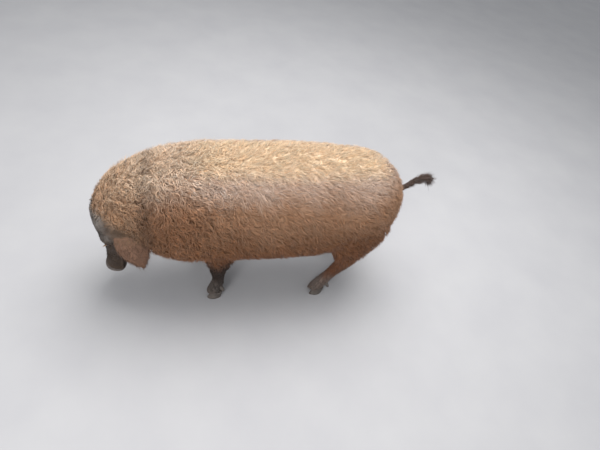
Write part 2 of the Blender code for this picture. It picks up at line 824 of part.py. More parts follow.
def make_clump(tree, place, normal, size, turn, rise):
    """One rounded clump that follows the core's surface, rooted in it and leaning with the coat."""
    lie = (COAT_LIE - normal * COAT_LIE.dot(normal)).normalized()
    lie = Matrix.Rotation(turn, 3, normal) @ lie
    across = normal.cross(lie)

    facings = []

    def at(height, along, aside):
        lean = CLUMP_LEAN * CLUMP_HALF_LENGTH * max(0.0, height)
        near, facing, _, _ = tree.find_nearest(place + lie * (along + lean) + across * aside)
        facings.append(facing.dot(normal))
        return near + facing * (rise * height)

    rings = []
    for height, share in CLUMP_RINGS:
        ring = []
        for k in range(CLUMP_SIDES):
            angle = 2 * math.pi * k / CLUMP_SIDES
            along = CLUMP_HALF_LENGTH * size * share * math.cos(angle)
            aside = CLUMP_HALF_WIDTH * size * share * math.sin(angle)
            ring.append(at(height, along, aside))
        rings.append(ring)
    return rings, at(1.0, 0, 0), min(facings)


def search_tree(obj):
    return BVHTree.FromPolygons(
        [v.co for v in obj.data.vertices], [tuple(f.vertices) for f in obj.data.polygons]
    )


def free_part(obj, form):
    """The faces of a flap or tail that lie well out from the form that it grows from."""
    tree = search_tree(form)
    points = [v.co for v in obj.data.vertices]
    far = [tree.find_nearest(p)[3] > FREE_HEIGHT for p in points]
    faces = [tuple(f.vertices) for f in obj.data.polygons if all(far[i] for i in f.vertices)]
    return BVHTree.FromPolygons(points, faces)


def make_clumps(form, clear_of):
    """Rounded clumps of wool over the form, clear of what hangs free; place and clump of each."""
    rng = np.random.default_rng(SEED)
    tree = search_tree(form)
    others = [free_part(obj, form) for obj in clear_of]
    clumps = []
    for place, normal in even_sites(form, rng):
        size = rng.uniform(*CLUMP_SIZE_RANGE) * clump_share(place)
        turn = rng.uniform(-CLUMP_TURN, CLUMP_TURN)
        rise = coat_depth(place) * (rng.uniform(*CLUMP_TIP_RANGE) - CORE_SHARE)
        for fit in CLUMP_FITS:
            rings, tip, facing = make_clump(tree, place, normal, size * fit, turn, rise)
            if facing < CLUMP_FACING:
                continue
            clump = loft("clump", rings, tip)
            if not any(search_tree(clump).overlap(other) for other in others):
                clumps.append((place, clump))
                break
            bpy.data.objects.remove(clump)
    return clumps


def on_head(place):
    """Whether a clump here reaches past the cut between neck and head."""
    forward, height, pitch = HEAD_CUT
    ahead = (RUMP_X - place.x - forward) * math.cos(pitch) - (place.z - height) * math.sin(pitch)
    return ahead > -CLUMP_HALF_LENGTH * CLUMP_SIZE_RANGE[1]


def add_locks(tail, points, radii):
    """Flat tapered locks that leave the tail all round, bend and overlap, as its tassel."""
    rng = np.random.default_rng(SEED)
    last = len(points) - 1
    locks = []
    for i in range(LOCK_COUNT):
        share = LOCK_START[0] + (LOCK_START[1] - LOCK_START[0]) * i / (LOCK_COUNT - 1)
        at = min(last - 1, int(share * last))
        way = (points[at + 1] - points[at - 1]).normalized()
        side = way.cross(Vector((0, 0, 1))).normalized()
        turn = i * LOCK_TURN
        spread = side * math.cos(turn) + way.cross(side) * math.sin(turn)
        place = points[at] + spread * (radii[at] * LOCK_ROOT)
        heading = (way + spread * LOCK_SPREAD).normalized()
        length = LOCK_LENGTH * rng.uniform(0.85, 1.15)
        rings = []
        for k in range(LOCK_RINGS):
            along = k / LOCK_RINGS
            middle = place + heading * (length * along)
            middle.z -= LOCK_DROOP * length * along * along / 2
            width = LOCK_HALF_WIDTH * (1 - LOCK_TAPER[0] * along**2)
            flat = spread.cross(heading).normalized() * width
            out = spread * (LOCK_HALF_THICKNESS * (1 - LOCK_TAPER[1] * along))
            rings.append([middle + flat, middle + out, middle - flat, middle - out])
        tip = place + heading * length - Vector((0, 0, LOCK_DROOP * length / 2))
        locks.append(loft("lock", rings, tip))
    boolean(tail, "UNION", locks, "MANIFOLD")


def leg_block(name, foot, inset):
    """The box that parts a leg from the body, smaller by the inset on every side."""
    _, forward, out, _ = FEET[foot]
    side = math.copysign(1, out)
    ends = sorted((side * (LEG_INNER + inset), side * (LEG_OUTER - inset)))
    low = (RUMP_X - forward - LEG_REACH_AHEAD + inset, ends[0], CORONET + GAP if inset else -1)
    high = (RUMP_X - forward + LEG_REACH_BEHIND - inset, ends[1], LEG_TOP - inset)
    return box(name, low, high)


def finish(obj, kind):
    """Gives a part its own material and shades it smooth."""
    colour, roughness = LOOKS[kind]
    material = bpy.data.materials.new(obj.name)
    material.use_nodes = True
    shader = material.node_tree.nodes["Principled BSDF"]
    shader.inputs["Base Color"].default_value = (*colour, 1)
    shader.inputs["Roughness"].default_value = roughness
    shader.inputs["Metallic"].default_value = 0
    obj.data.materials.clear()
    obj.data.materials.append(material)
    obj.data.shade_smooth()
    obj.data.set_sharp_from_angle(angle=SHARP_ANGLE)


def place_all(parts):
    """Puts the parts in one collection, under an empty that centres them on the floor."""
    home = bpy.data.collections.new("pig")
    bpy.context.scene.collection.children.link(home)
    bpy.context.view_layer.update()
    corners = [part.matrix_world @ Vector(c) for part in parts for c in part.bound_box]
    low = Vector(map(min, zip(*corners)))
    high = Vector(map(max, zip(*corners)))
    root = bpy.data.objects.new("pig", None)
    root.location = (-(low.x + high.x) / 2, -(low.y + high.y) / 2, -low.z)
    home.objects.link(root)
    for part in parts:
        part.parent = root
        home.objects.link(part)
        bpy.context.scene.collection.objects.unlink(part)


def clear_scene():
    for obj in list(bpy.data.objects):
        bpy.data.objects.remove(obj)


def part_body(coarse, fine):
    """The torso and neck from the coarse form, the head and legs from the fine one."""
    torso = copy_of(coarse, "torso")
    boolean(torso, "DIFFERENCE", [side_of_cut(NECK_CUT, True)], "MANIFOLD")
    for foot in FEET:
        boolean(torso, "DIFFERENCE", [leg_block("block", foot, 0)], "MANIFOLD")
    keep_largest(torso)
    neck = copy_of(coarse, "neck")
    boolean(neck, "DIFFERENCE", [side_of_cut(NECK_CUT, False)], "MANIFOLD")
    boolean(neck, "DIFFERENCE", [side_of_cut(HEAD_CUT, True)], "MANIFOLD")
    keep_largest(neck)
    head = copy_of(fine, "head")
    boolean(head, "DIFFERENCE", [side_of_cut(HEAD_CUT, False)], "MANIFOLD")
    keep_largest(head)
    legs = {}
    for foot in FEET:
        leg = copy_of(fine, "leg_" + foot)
        boolean(leg, "INTERSECT", [leg_block("block", foot, GAP)], "MANIFOLD")
        keep_largest(leg)
        legs[foot] = leg
    return torso, neck, head, legs


def make_face(head):
    """Cuts the snout square, adds lips, parts the jaw and sets the eyes; gives the new parts."""
    tree = search_tree(head)
    end = SNOUT_END + PAST
    front = [(SNOUT_END, -PAST), (SNOUT_END, PAST), (end, PAST), (end, -PAST)]
    boolean(head, "DIFFERENCE", [outline_block("front", front, PAST)])
    add_lips(head, tree)
    eyes = [make_eye(head, tree, "eye_left", -1), make_eye(head, tree, "eye_right", 1)]
    jaw = copy_of(head, "lower_jaw")
    boolean(jaw, "INTERSECT", [outline_block("jaw_part", jaw_outline(GAP), PAST)])
    keep_largest(jaw)
    end = MOUTH[-1][0] + PAST
    throat = [JAW_BACK, *MOUTH, (end, MOUTH[-1][1]), (end, JAW_BACK[1])]
    boolean(head, "DIFFERENCE", [outline_block("mouth", throat, PAST)])
    keep_largest(head)
    return jaw, eyes


def main():
    clear_scene()
    forms = [make_trunk(), make_head_form(), *(make_leg_form(foot) for foot in FEET)]
    fine = join("body", forms)
    fuse(fine)
    coarse = copy_of(fine, "coarse")
    thin(coarse, COARSE_FACES)
    thin(fine, FINE_FACES)
    ears = [make_ear("ear_left", -1), make_ear("ear_right", 1)]
    tail = make_tail()
    toes = []
    claws = []
    for foot in FEET:
        for side, where in ((-1, "left"), (1, "right")):
            toes.append(make_toe(f"toe_{foot}_{where}", foot, side))
            claws.append(make_dewclaw(f"dewclaw_{foot}_{where}", foot, side, fine))
    disc = make_disc()
    clumps = make_clumps(coarse, [*ears, tail])
    head_clumps = [copy_of(clump, "clump") for place, clump in clumps if on_head(place)]
    woolly = copy_of(fine, "woolly")
    boolean(woolly, "UNION", head_clumps, "MANIFOLD")
    wool = [clump for _, clump in clumps]
    for ear in ears:
        seat(ear, [fine, *wool])
    seat(tail, [coarse, *wool])
    boolean(coarse, "UNION", wool, "MANIFOLD")
    torso, neck, head, legs = part_body(coarse, woolly)
    jaw, eyes = make_face(head)
    bpy.data.objects.remove(coarse)
    bpy.data.objects.remove(woolly)
    bpy.data.objects.remove(fine)
    finish(torso, "coat")
    finish(neck, "coat_neck")
    finish(head, "face")
    finish(jaw, "face")
    finish(disc, "disc")
    finish(tail, "tail")
    for ear in ears:
        finish(ear, "ear")
    for eye in eyes:
        finish(eye, "eye")
    for leg in legs.values():
        finish(leg, "leg")
    for hoof in toes + claws:
        finish(hoof, "hoof")
    place_all([torso, neck, head, jaw, disc, tail, *ears, *eyes, *legs.values(), *toes, *claws])


main()
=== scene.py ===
"""The looks of a life-size red woolly pig: one skin, eyes, hooves and a coat of mesh tufts.

The pig is made in its own frame, where "forward" is measured from the back of the rump
towards the snout and "out" sideways from the middle of the body, to the left where negative.
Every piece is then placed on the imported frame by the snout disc.
"""

import math

import bmesh
import bpy
import numpy as np
from mathutils import Matrix, Vector, noise
from mathutils.bvhtree import BVHTree
from mathutils.kdtree import KDTree


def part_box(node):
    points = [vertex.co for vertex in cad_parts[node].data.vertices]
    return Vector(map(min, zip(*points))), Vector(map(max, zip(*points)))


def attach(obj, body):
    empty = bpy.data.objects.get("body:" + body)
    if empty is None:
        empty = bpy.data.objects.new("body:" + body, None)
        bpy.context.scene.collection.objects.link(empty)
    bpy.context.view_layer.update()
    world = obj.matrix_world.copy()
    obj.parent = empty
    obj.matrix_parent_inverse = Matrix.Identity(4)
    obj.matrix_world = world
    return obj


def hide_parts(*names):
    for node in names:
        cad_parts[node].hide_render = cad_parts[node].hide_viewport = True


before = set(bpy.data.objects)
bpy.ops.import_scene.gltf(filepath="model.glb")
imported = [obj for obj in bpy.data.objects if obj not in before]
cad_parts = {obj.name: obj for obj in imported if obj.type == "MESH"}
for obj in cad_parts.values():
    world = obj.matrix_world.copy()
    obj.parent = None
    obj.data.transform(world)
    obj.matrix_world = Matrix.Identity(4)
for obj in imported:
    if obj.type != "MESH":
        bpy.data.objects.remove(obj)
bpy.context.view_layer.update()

SEED = 11

# Body, as in the solids
RUMP_X = 0.66
TRUNK = (
    (0.25, 0.477, 0, 0.221, 0.200, 0.201),
    (0.34, 0.470, 0, 0.237, 0.210, 0.211),
    (0.46, 0.466, 0, 0.246, 0.216, 0.216),
    (0.60, 0.464, 0, 0.246, 0.216, 0.216),
    (0.72, 0.464, 0, 0.241, 0.211, 0.209),
    (0.82, 0.462, 2, 0.237, 0.208, 0.199),
    (0.91, 0.457, 9, 0.228, 0.218, 0.187),
    (0.99, 0.446, 19, 0.212, 0.218, 0.171),
    (1.06, 0.430, 32, 0.184, 0.200, 0.151),
    (1.12, 0.412, 48, 0.144, 0.160, 0.126),
    (1.16, 0.385, 62, 0.080, 0.090, 0.080),
    (1.18, 0.360, 70, 0.025, 0.030, 0.025),
)
TRUNK_POWER = 2.2
TRUNK_SIDES = 48
RUMP_TIP_HEIGHT = 0.500
RUMP_ROWS = 7
RUMP_POWER = 2.15
RUMP_BACK = -0.016

HEAD_FORWARD = 1.138
HEAD_HEIGHT = 0.408
HEAD_PITCH = math.radians(79)
HEAD = (
    (-0.10, 0.030, 0.040, 0.035),
    (-0.06, 0.086, 0.100, 0.094),
    (-0.01, 0.102, 0.128, 0.117),
    (0.045, 0.099, 0.126, 0.116),
    (0.10, 0.081, 0.110, 0.099),
    (0.15, 0.062, 0.091, 0.079),
    (0.20, 0.0495, 0.075, 0.064),
    (0.25, 0.0435, 0.063, 0.0545),
    (0.2925, 0.0430, 0.050, 0.0485),
)
HEAD_POWER = 2.15
HEAD_SIDES = 44
SNOUT_END = 0.2925
HEAD_AXIS = Vector((-math.cos(HEAD_PITCH), 0, -math.sin(HEAD_PITCH)))
HEAD_UP = Vector((-math.sin(HEAD_PITCH), 0, math.cos(HEAD_PITCH)))
HEAD_ORIGIN = Vector((RUMP_X - HEAD_FORWARD, 0, HEAD_HEIGHT))

MOUTH = ((0.160, -0.012), (0.195, -0.021), (0.235, -0.027), (0.276, -0.030))
CHIN_SETBACK = 0.022
CHIN_LIFT = 0.009

EYE_RADIUS = 0.0125
EYE_ALONG = 0.092
EYE_UP = 0.050

EAR_SPINE = (
    (1.134, 0.072, 0.462),
    (1.128, 0.116, 0.456),
    (1.114, 0.154, 0.416),
    (1.092, 0.174, 0.352),
    (1.068, 0.180, 0.286),
)
EAR_ACROSS = Vector((-0.97, 0.05, -0.22))
EAR_HALF_WIDTH = 0.066
EAR_SHAPE = (
    (0.00, 0.42, 1.25, 0.0150),
    (0.20, 0.66, 1.10, 0.0105),
    (0.42, 0.95, 0.80, 0.0070),
    (0.62, 1.00, 0.60, 0.0056),
    (0.82, 0.66, 0.45, 0.0048),
    (0.94, 0.32, 0.35, 0.0042),
    (1.00, 0.08, 0.30, 0.0036),
)
EAR_COLUMNS = 25
EAR_STEPS = 10
EAR_RIPPLE = 0.0022

FRONT_LEG = (
    (0.022, 0.020, 0.000, 0.0300, 0.0290),
    (0.040, 0.018, 0.000, 0.0300, 0.0290),
    (0.056, 0.012, 0.000, 0.0262, 0.0270),
    (0.085, 0.003, 0.000, 0.0265, 0.0265),
    (0.130, 0.000, 0.000, 0.0245, 0.0240),
    (0.175, 0.004, 0.000, 0.0325, 0.0300),
    (0.220, 0.000, 0.002, 0.0390, 0.0330),
    (0.270, -0.002, 0.002, 0.0520, 0.0390),
    (0.330, 0.006, -0.002, 0.0740, 0.0430),
    (0.410, 0.028, -0.008, 0.0950, 0.0440),
    (0.500, 0.052, -0.024, 0.0900, 0.0380),
    (0.580, 0.060, -0.050, 0.0500, 0.0260),
)
HIND_LEG = (
    (0.022, 0.018, 0.000, 0.0300, 0.0290),
    (0.040, 0.014, 0.000, 0.0300, 0.0290),
    (0.056, 0.006, 0.000, 0.0262, 0.0270),
    (0.085, -0.010, 0.000, 0.0268, 0.0265),
    (0.125, -0.032, 0.000, 0.0240, 0.0235),
    (0.170, -0.056, 0.000, 0.0300, 0.0265),
    (0.205, -0.074, 0.000, 0.0370, 0.0300),
    (0.240, -0.076, -0.002, 0.0480, 0.0350),
    (0.280, -0.070, -0.006, 0.0700, 0.0450),
    (0.340, -0.070, -0.012, 0.1050, 0.0560),
    (0.410, -0.070, -0.022, 0.1350, 0.0640),
    (0.490, -0.062, -0.045, 0.1350, 0.0600),
    (0.560, -0.055, -0.075, 0.0900, 0.0400),
)
FEET = {
    "front_left": (FRONT_LEG, 0.764, -0.126, 0.000),
    "front_right": (FRONT_LEG, 0.812, 0.124, 0.038),
    "hind_left": (HIND_LEG, 0.278, -0.142, 0.045),
    "hind_right": (HIND_LEG, 0.190, 0.138, -0.043),
}
CORONET = 0.040
LEG_SIDES = 32

TOE = (
    (0.000, 0.0155, 0.0310, 0.0142),
    (0.010, 0.0150, 0.0308, 0.0146),
    (0.027, 0.0090, 0.0280, 0.0143),
    (0.043, 0.0040, 0.0250, 0.0134),
)
TOE_SIDES = 48
TOE_POINT = 0.35
TOE_CLEFT = 0.0035
TOE_SPLAY = math.radians(5)
TOE_WIDEST = 0.0146
TOE_RINGS_EVERY = 0.0042
TOE_RING_DEPTH = 0.00010
TOE_ROUNDING = 0.0010
TOE_ROUND_HEIGHT = 0.0025
HOOF_SHARP = 40
DEWCLAW = ((0.00, 0.0082), (0.35, 0.0088), (0.75, 0.0068), (0.95, 0.0040), (1.00, 0.0015))
DEWCLAW_LENGTH = 0.036
DEWCLAW_HEIGHT = 0.082
DEWCLAW_OUT = 0.0165
DEWCLAW_ROOT = 0.012
DEWCLAW_SLOPE = math.radians(58)
DEWCLAW_SPREAD = 0.25
DEWCLAW_SIDES = 20

TAIL = (
    (-0.060, 0.000, 0.510, 0.020),
    (-0.015, 0.000, 0.520, 0.0170),
    (0.025, 0.001, 0.532, 0.0135),
    (0.062, 0.005, 0.550, 0.0110),
    (0.096, 0.012, 0.568, 0.0090),
    (0.130, 0.022, 0.577, 0.0075),
    (0.160, 0.032, 0.573, 0.0055),
    (0.178, 0.038, 0.562, 0.0030),
)
TAIL_SIDES = 20
TAIL_BEHIND = 0.028
TAIL_BARE = 0.021

# How far the disc and the nostrils reach up, down and to each side
DISC_REACH = np.array((0.0485, 0.0395, 0.0515))
NOSTRIL_REACH = np.array((0.0095, 0.0095, 0.0072))
DISC_POWER = 2.3
DISC_SIDES = 72
DISC_GAP = 0.0003
# How far ahead of the snout's end each ring of the disc lies, and its share of the full size.
DISC_RINGS = (
    (-0.0040, 0.84),
    (0.0000, 0.91),
    (0.0020, 0.965),
    (0.0045, 0.995),
    (0.0080, 1.0),
    (0.0115, 0.985),
    (0.0138, 0.955),
    (0.0148, 0.91),
    (0.0145, 0.80),
    (0.0135, 0.60),
    (0.0130, 0.35),
    (0.0130, 0.12),
)
SOLID_DISC_RINGS = ((0.0, 0.91), (0.004, 1.0), (0.0115, 1.0), (0.0150, 0.93))
SOLID_DISC_SIDES = 24
DISC_SHARP = 50
NOSTRIL_POWER = 2
NOSTRIL_SIDES = 32
NOSTRIL_OUT = 0.0185
NOSTRIL_UP = 0.003
# How far outside the disc each ring of a nostril lies, and its share of the size
NOSTRIL_RINGS = ((0.012, 1.5), (0.0, 1.12), (-0.003, 0.95), (-0.016, 0.7))

# Coat depths and where they change, as in the solids
COAT_FLANK = 0.022
COAT_NECK = 0.031
COAT_LEG = 0.004
COAT_FACE = 0.0025
NECK_FADE = (0.62, 0.88)
LEG_FADE = (0.150, 0.340)
BELLY_FADE = (0.050, 0.105)
BELLY_HEIGHT = (0.170, 0.215)
FACE_FADE = (-0.040, 0.085)
FACE_FORWARD = (1.02, 1.10)
# Along the head, where the wool of the poll gives way to the short hair of the face
POLL_EDGE = (-0.066, -0.026)
POLL_RISE = 0.012
POLL_SIDE = (0.030, 0.090)
POLL_FORWARD = (1.08, 1.15)

# Dried mud on each side of the forehead: along the head, above its axis and out
MUD_PLACE = (-0.040, 0.085, 0.068)
MUD_REACH = 0.040
# The ear's root, where hair as pale as the wool hides the join
EAR_ROOT = (-0.022, 0.020, 0.118)
EAR_ROOT_REACH = 0.040

# Skin
FUSE_VOXEL = 0.006
SKIN_VOXEL = 0.007
SOFTEN_STEPS = 70
SETTLE_STEPS = 3
SOFT_LEG = (0.20, 0.30)
SOFT_FACE = (0.02, 0.12)
SOFT_LEAST = 0.12
SKIN_SHARE = 0.30
FACE_SKIN_SHARE = 0.85
# The face is split finer from these places along the head on, once for each.
FINE_ALONG = (0.0, 0.045)
FINE_FORWARD = 1.06


def srgb(red, green, blue):
    """Linear colour from 8-bit sRGB values."""
    return np.array([((c / 255 + 0.055) / 1.055) ** 2.4 for c in (red, green, blue)])


# Colours of skin and coat
# GOLD and CREAM serve as painted light on the upper parts of the coat.
GOLD = srgb(255, 224, 184)
CREAM = srgb(221, 192, 172)
GINGER = srgb(192, 147, 112)
RUST = srgb(158, 108, 72)
DARK_RUST = srgb(122, 76, 47)
BROWN = srgb(74, 46, 28)
POLL = srgb(200, 160, 126)
# FACE_BROWN is the face's own brown, darkened further as painted shade.
FACE_BROWN = srgb(70, 55, 44)
MUD = srgb(216, 204, 194)
LEG_MUD = srgb(124, 112, 104)
EAR_PINK = srgb(142, 106, 84)
SLATE = srgb(96, 86, 80)
TASSEL = srgb(86, 66, 56)

# Camera: its place in the pig's own frame, and which way it looks
CAMERA_PLACE = Vector((-0.27336, -1.36753, 1.76947))
CAMERA_HEADING = math.radians(21.6)
CAMERA_TILT = math.radians(44.63)
CAMERA_ROLL = math.radians(14.0)
CAMERA_LENS = 27.0

# Each coat piece holds at most this many triangles.
PIECE_TRIANGLES = 185000
PATCH = 0.003
# How often the streaks of single hairs change across and along a tuft
STREAKS_ACROSS = 7.0
STREAKS_ALONG = 2.0


def fade(value, start, end):
    """0 before start, 1 past end, and an even S-curve between; takes numbers or arrays."""
    share = np.clip((value - start) / (end - start), 0, 1)
    return share * share * (3 - 2 * share)


def mix(first, second, share):
    """Blends rows of colours or numbers."""
    share = np.asarray(share)[..., None] if np.ndim(share) else share
    return first * (1 - share) + second * share


def smooth_rows(rows, steps):
    """The rows of a table with steps - 1 rows added in each gap, on a Catmull-Rom curve."""
    table = np.array(rows, float)
    padded = np.vstack((2 * table[0] - table[1], table, 2 * table[-1] - table[-2]))
    made = []
    for i in range(1, len(padded) - 2):
        a, b, c, d = padded[i - 1 : i + 3]
        for k in range(steps):
            t = k / steps
            made.append(
                b
                + 0.5 * t * (c - a)
                + t * t * (a - 2.5 * b + 2 * c - 0.5 * d)
                + 0.5 * t**3 * (3 * b - 3 * c + d - a)
            )
    made.append(table[-1])
    return np.array(made)


def section(up, down, half_width, power, count):
    """Sideways and upward reach of each point round a superellipse."""
    turn = np.linspace(0, 2 * math.pi, count, endpoint=False)
    side = np.sign(np.cos(turn)) * np.abs(np.cos(turn)) ** (2 / power) * half_width
    rise = np.sign(np.sin(turn)) * np.abs(np.sin(turn)) ** (2 / power)
    return side, np.where(rise > 0, rise * up, rise * down)


def head_point(along, up, out):
    """A point of the head from its distance along the axis, above it and out from it."""
    return HEAD_ORIGIN + HEAD_AXIS * float(along) + HEAD_UP * float(up) + Vector((0, float(out), 0))


def forward_of(points):
    """How far ahead of the rump's reference place each point lies."""
    return RUMP_X - points[:, 0]


def along_head(points):
    return (points - np.array(HEAD_ORIGIN)) @ np.array(HEAD_AXIS)


def up_head(points):
    return (points - np.array(HEAD_ORIGIN)) @ np.array(HEAD_UP)


def head_ring(along, reach, power, count, up=0.0, out=0.0):
    """A ring round a place on the head's axis, or round one above it and out from it."""
    side, rise = section(*reach, power, count)
    return [head_point(along, up + r, out + s) for s, r in zip(side, rise)]


def body_point(forward, out, height):
    return Vector((RUMP_X - forward, out, height))


def add_object(name, data):
    """A new object in the scene."""
    obj = bpy.data.objects.new(name, data)
    bpy.context.scene.collection.objects.link(obj)
    return obj


def mesh_from(name, shell):
    """A mesh with the shell's faces; the shell is freed."""
    mesh = bpy.data.meshes.new(name)
    shell.to_mesh(mesh)
    shell.free()
    return mesh


def mesh_object(name, points, faces):
    """A mesh object whose faces point outwards."""
    mesh = bpy.data.meshes.new(name)
    mesh.from_pydata([tuple(p) for p in points], [], faces)
    shell = bmesh.new()
    shell.from_mesh(mesh)
    bmesh.ops.recalc_face_normals(shell, faces=shell.faces)
    shell.to_mesh(mesh)
    shell.free()
    return add_object(name, mesh)


def loft(name, rings):
    """A closed skin through rings of equal point counts, each end closed by a cap."""
    count = len(rings[0])
    faces = []
    for i in range(len(rings) - 1):
        low = i * count
        high = low + count
        for k in range(count):
            after = (k + 1) % count
            faces.append((low + k, low + after, high + after, high + k))
    faces.append(tuple(range(count)))
    faces.append(tuple(range((len(rings) - 1) * count, len(rings) * count)))
    return mesh_object(name, np.vstack(rings), faces)


def tube(name, points, radii, sides):
    """A round tube of changing radius through the points."""
    points = [Vector(p) for p in points]
    rings = []
    across = None
    for i, point in enumerate(points):
        way = (points[min(i + 1, len(points) - 1)] - points[max(i - 1, 0)]).normalized()
        guide = across if across else (Vector((0, 0, 1)) if abs(way.z) < 0.9 else Vector((0, 1, 0)))
        across = (guide - way * guide.dot(way)).normalized()
        other = way.cross(across)
        ring = []
        for k in range(sides):
            turn = 2 * math.pi * k / sides
            ring.append(point + (across * math.cos(turn) + other * math.sin(turn)) * radii[i])
        rings.append(ring)
    return loft(name, rings)


def apply_modifiers(obj):
    bpy.context.view_layer.update()
    graph = bpy.context.evaluated_depsgraph_get()
    mesh = bpy.data.meshes.new_from_object(obj.evaluated_get(graph))
    obj.modifiers.clear()
    obj.data = mesh


def join(name, objects):
    """One object holding the meshes of several, which are removed."""
    shell = bmesh.new()
    for obj in objects:
        shell.from_mesh(obj.data)
        bpy.data.objects.remove(obj)
    return add_object(name, mesh_from(name, shell))


def remesh(obj, voxel):
    modifier = obj.modifiers.new("fuse", "REMESH")
    modifier.mode = "VOXEL"
    modifier.voxel_size = voxel
    apply_modifiers(obj)


def smooth(obj, steps, weight=None):
    """Smooths the mesh, by the weight of each vertex where one is given."""
    modifier = obj.modifiers.new("smooth", "SMOOTH")
    modifier.iterations = steps
    modifier.factor = 0.5
    if weight is not None:
        group = obj.vertex_groups.new(name="soft")
        for index, share in enumerate(weight):
            group.add([index], float(share), "REPLACE")
        modifier.vertex_group = "soft"
    apply_modifiers(obj)


def boolean(obj, operation, others):
    """Joins or cuts with the other objects, which are removed."""
    tools = bpy.data.collections.new("tools")
    for other in others:
        tools.objects.link(other)
    modifier = obj.modifiers.new(operation.lower(), "BOOLEAN")
    modifier.operation = operation
    modifier.operand_type = "COLLECTION"
    modifier.collection = tools
    modifier.solver = "MANIFOLD"
    apply_modifiers(obj)
    for other in others:
        bpy.data.objects.remove(other)
    bpy.data.collections.remove(tools)


def finish(obj, material, sharp=None):
    """One material and smooth shading, with edges sharper than the angle in degrees kept."""
    obj.data.materials.clear()
    obj.data.materials.append(material)
    obj.data.shade_smooth()
    if sharp:
        obj.data.set_sharp_from_angle(angle=math.radians(sharp))


def points_of(mesh):
    """The mesh's vertices and their normals as arrays."""
    points = np.empty(len(mesh.vertices) * 3, np.float32)
    normals = np.empty(len(mesh.vertices) * 3, np.float32)
    mesh.vertices.foreach_get("co", points)
    mesh.vertex_normals.foreach_get("vector", normals)
    return points.reshape(-1, 3).astype(float), normals.reshape(-1, 3).astype(float)


def set_points(mesh, points):
    mesh.vertices.foreach_set("co", points.astype(np.float32).ravel())
    mesh.update()


def coat_depth(points):
    """How far the coat stands off the flesh at points of the body."""
    height = points[:, 2]
    depth = COAT_FLANK + (COAT_NECK - COAT_FLANK) * fade(forward_of(points), *NECK_FADE)
    belly = fade(height, *BELLY_HEIGHT) * (1 - fade(np.abs(points[:, 1]), *BELLY_FADE))
    depth = COAT_LEG + (depth - COAT_LEG) * np.maximum(belly, fade(height, *LEG_FADE))
    return depth + (COAT_FACE - depth) * face_share(points)


def face_share(points):
    """1 on the face, 0 on the rest of the body."""
    return fade(along_head(points), *FACE_FADE) * fade(forward_of(points), *FACE_FORWARD)


def short_face(points):
    """1 where the head has short hair, 0 where it has wool."""
    along = along_head(points) + POLL_RISE * fade(np.abs(points[:, 1]), *POLL_SIDE)
    forehead = fade(along, *POLL_EDGE) * fade(forward_of(points), *POLL_FORWARD)
    return np.maximum(forehead, face_share(points))


# Skin

def trunk_ring(row, count):
    """One section of the trunk or neck, in a plane that tilts with the row's pitch."""
    forward, height, pitch, up, down, half_width = row
    pitch = math.radians(pitch)
    side, rise = section(up, down, half_width, TRUNK_POWER, count)
    x = RUMP_X - forward - rise * math.sin(pitch)
    return np.column_stack((x, side, height + rise * math.cos(pitch)))


def rump_rows(first):
    """Rows that round off the rump, as a quarter of a superellipse, up to the trunk's first."""
    first = np.array(first, float)
    rows = []
    for i in range(1, RUMP_ROWS):
        turn = math.pi / 2 * i / RUMP_ROWS
        inward = math.cos(turn) ** (2 / RUMP_POWER)
        forward = first[0] + (RUMP_BACK - first[0]) * inward
        height = first[1] + (RUMP_TIP_HEIGHT - first[1]) * inward
        rows.append((forward, height, 0, *(first[3:] * math.sin(turn) ** (2 / RUMP_POWER))))
    return rows


def make_trunk():
    rows = np.vstack((rump_rows(TRUNK[0]), smooth_rows(TRUNK, 4)))
    return loft("trunk", [trunk_ring(row, TRUNK_SIDES) for row in rows])


def make_head_form():
    rows = smooth_rows(HEAD, 4)
    rings = [head_ring(along, reach, HEAD_POWER, HEAD_SIDES) for along, *reach in rows]
    return loft("head_form", rings)


def leg_place(name, height, ahead, outward):
    """Where the middle of a leg's row stands, with the leg carried forward or back."""
    rows, forward, out, carried = FEET[name]
    back = carried * fade(height, CORONET, rows[-1][0])
    return RUMP_X - (forward + ahead - back), out + math.copysign(1, out) * outward


def leg_centre(name, height):
    """Where the middle of a leg stands at a height."""
    table = np.array(FEET[name][0])
    ahead, outward = (np.interp(height, table[:, 0], table[:, k]) for k in (1, 2))
    return leg_place(name, height, ahead, outward)


def make_leg_form(name):
    """The flesh of one leg, from below the coronet up into the body."""
    turn = np.linspace(0, 2 * math.pi, LEG_SIDES, endpoint=False)
    rings = []
    for height, ahead, outward, half_length, half_width in smooth_rows(FEET[name][0], 4):
        x, y = leg_place(name, height, ahead, outward)
        x = x + half_length * np.cos(turn)
        y = y + half_width * np.sin(turn)
        rings.append(np.column_stack((x, y, np.full(LEG_SIDES, height))))
    return loft("leg_form", rings)


def tail_path():
    """Points along the middle of the tail, and its radius at each."""
    rows = smooth_rows(TAIL, 4)
    return np.column_stack((RUMP_X + rows[:, 0], rows[:, 1], rows[:, 2])), rows[:, 3]


def make_tail_form():
    return tube("tail_form", *tail_path(), TAIL_SIDES)


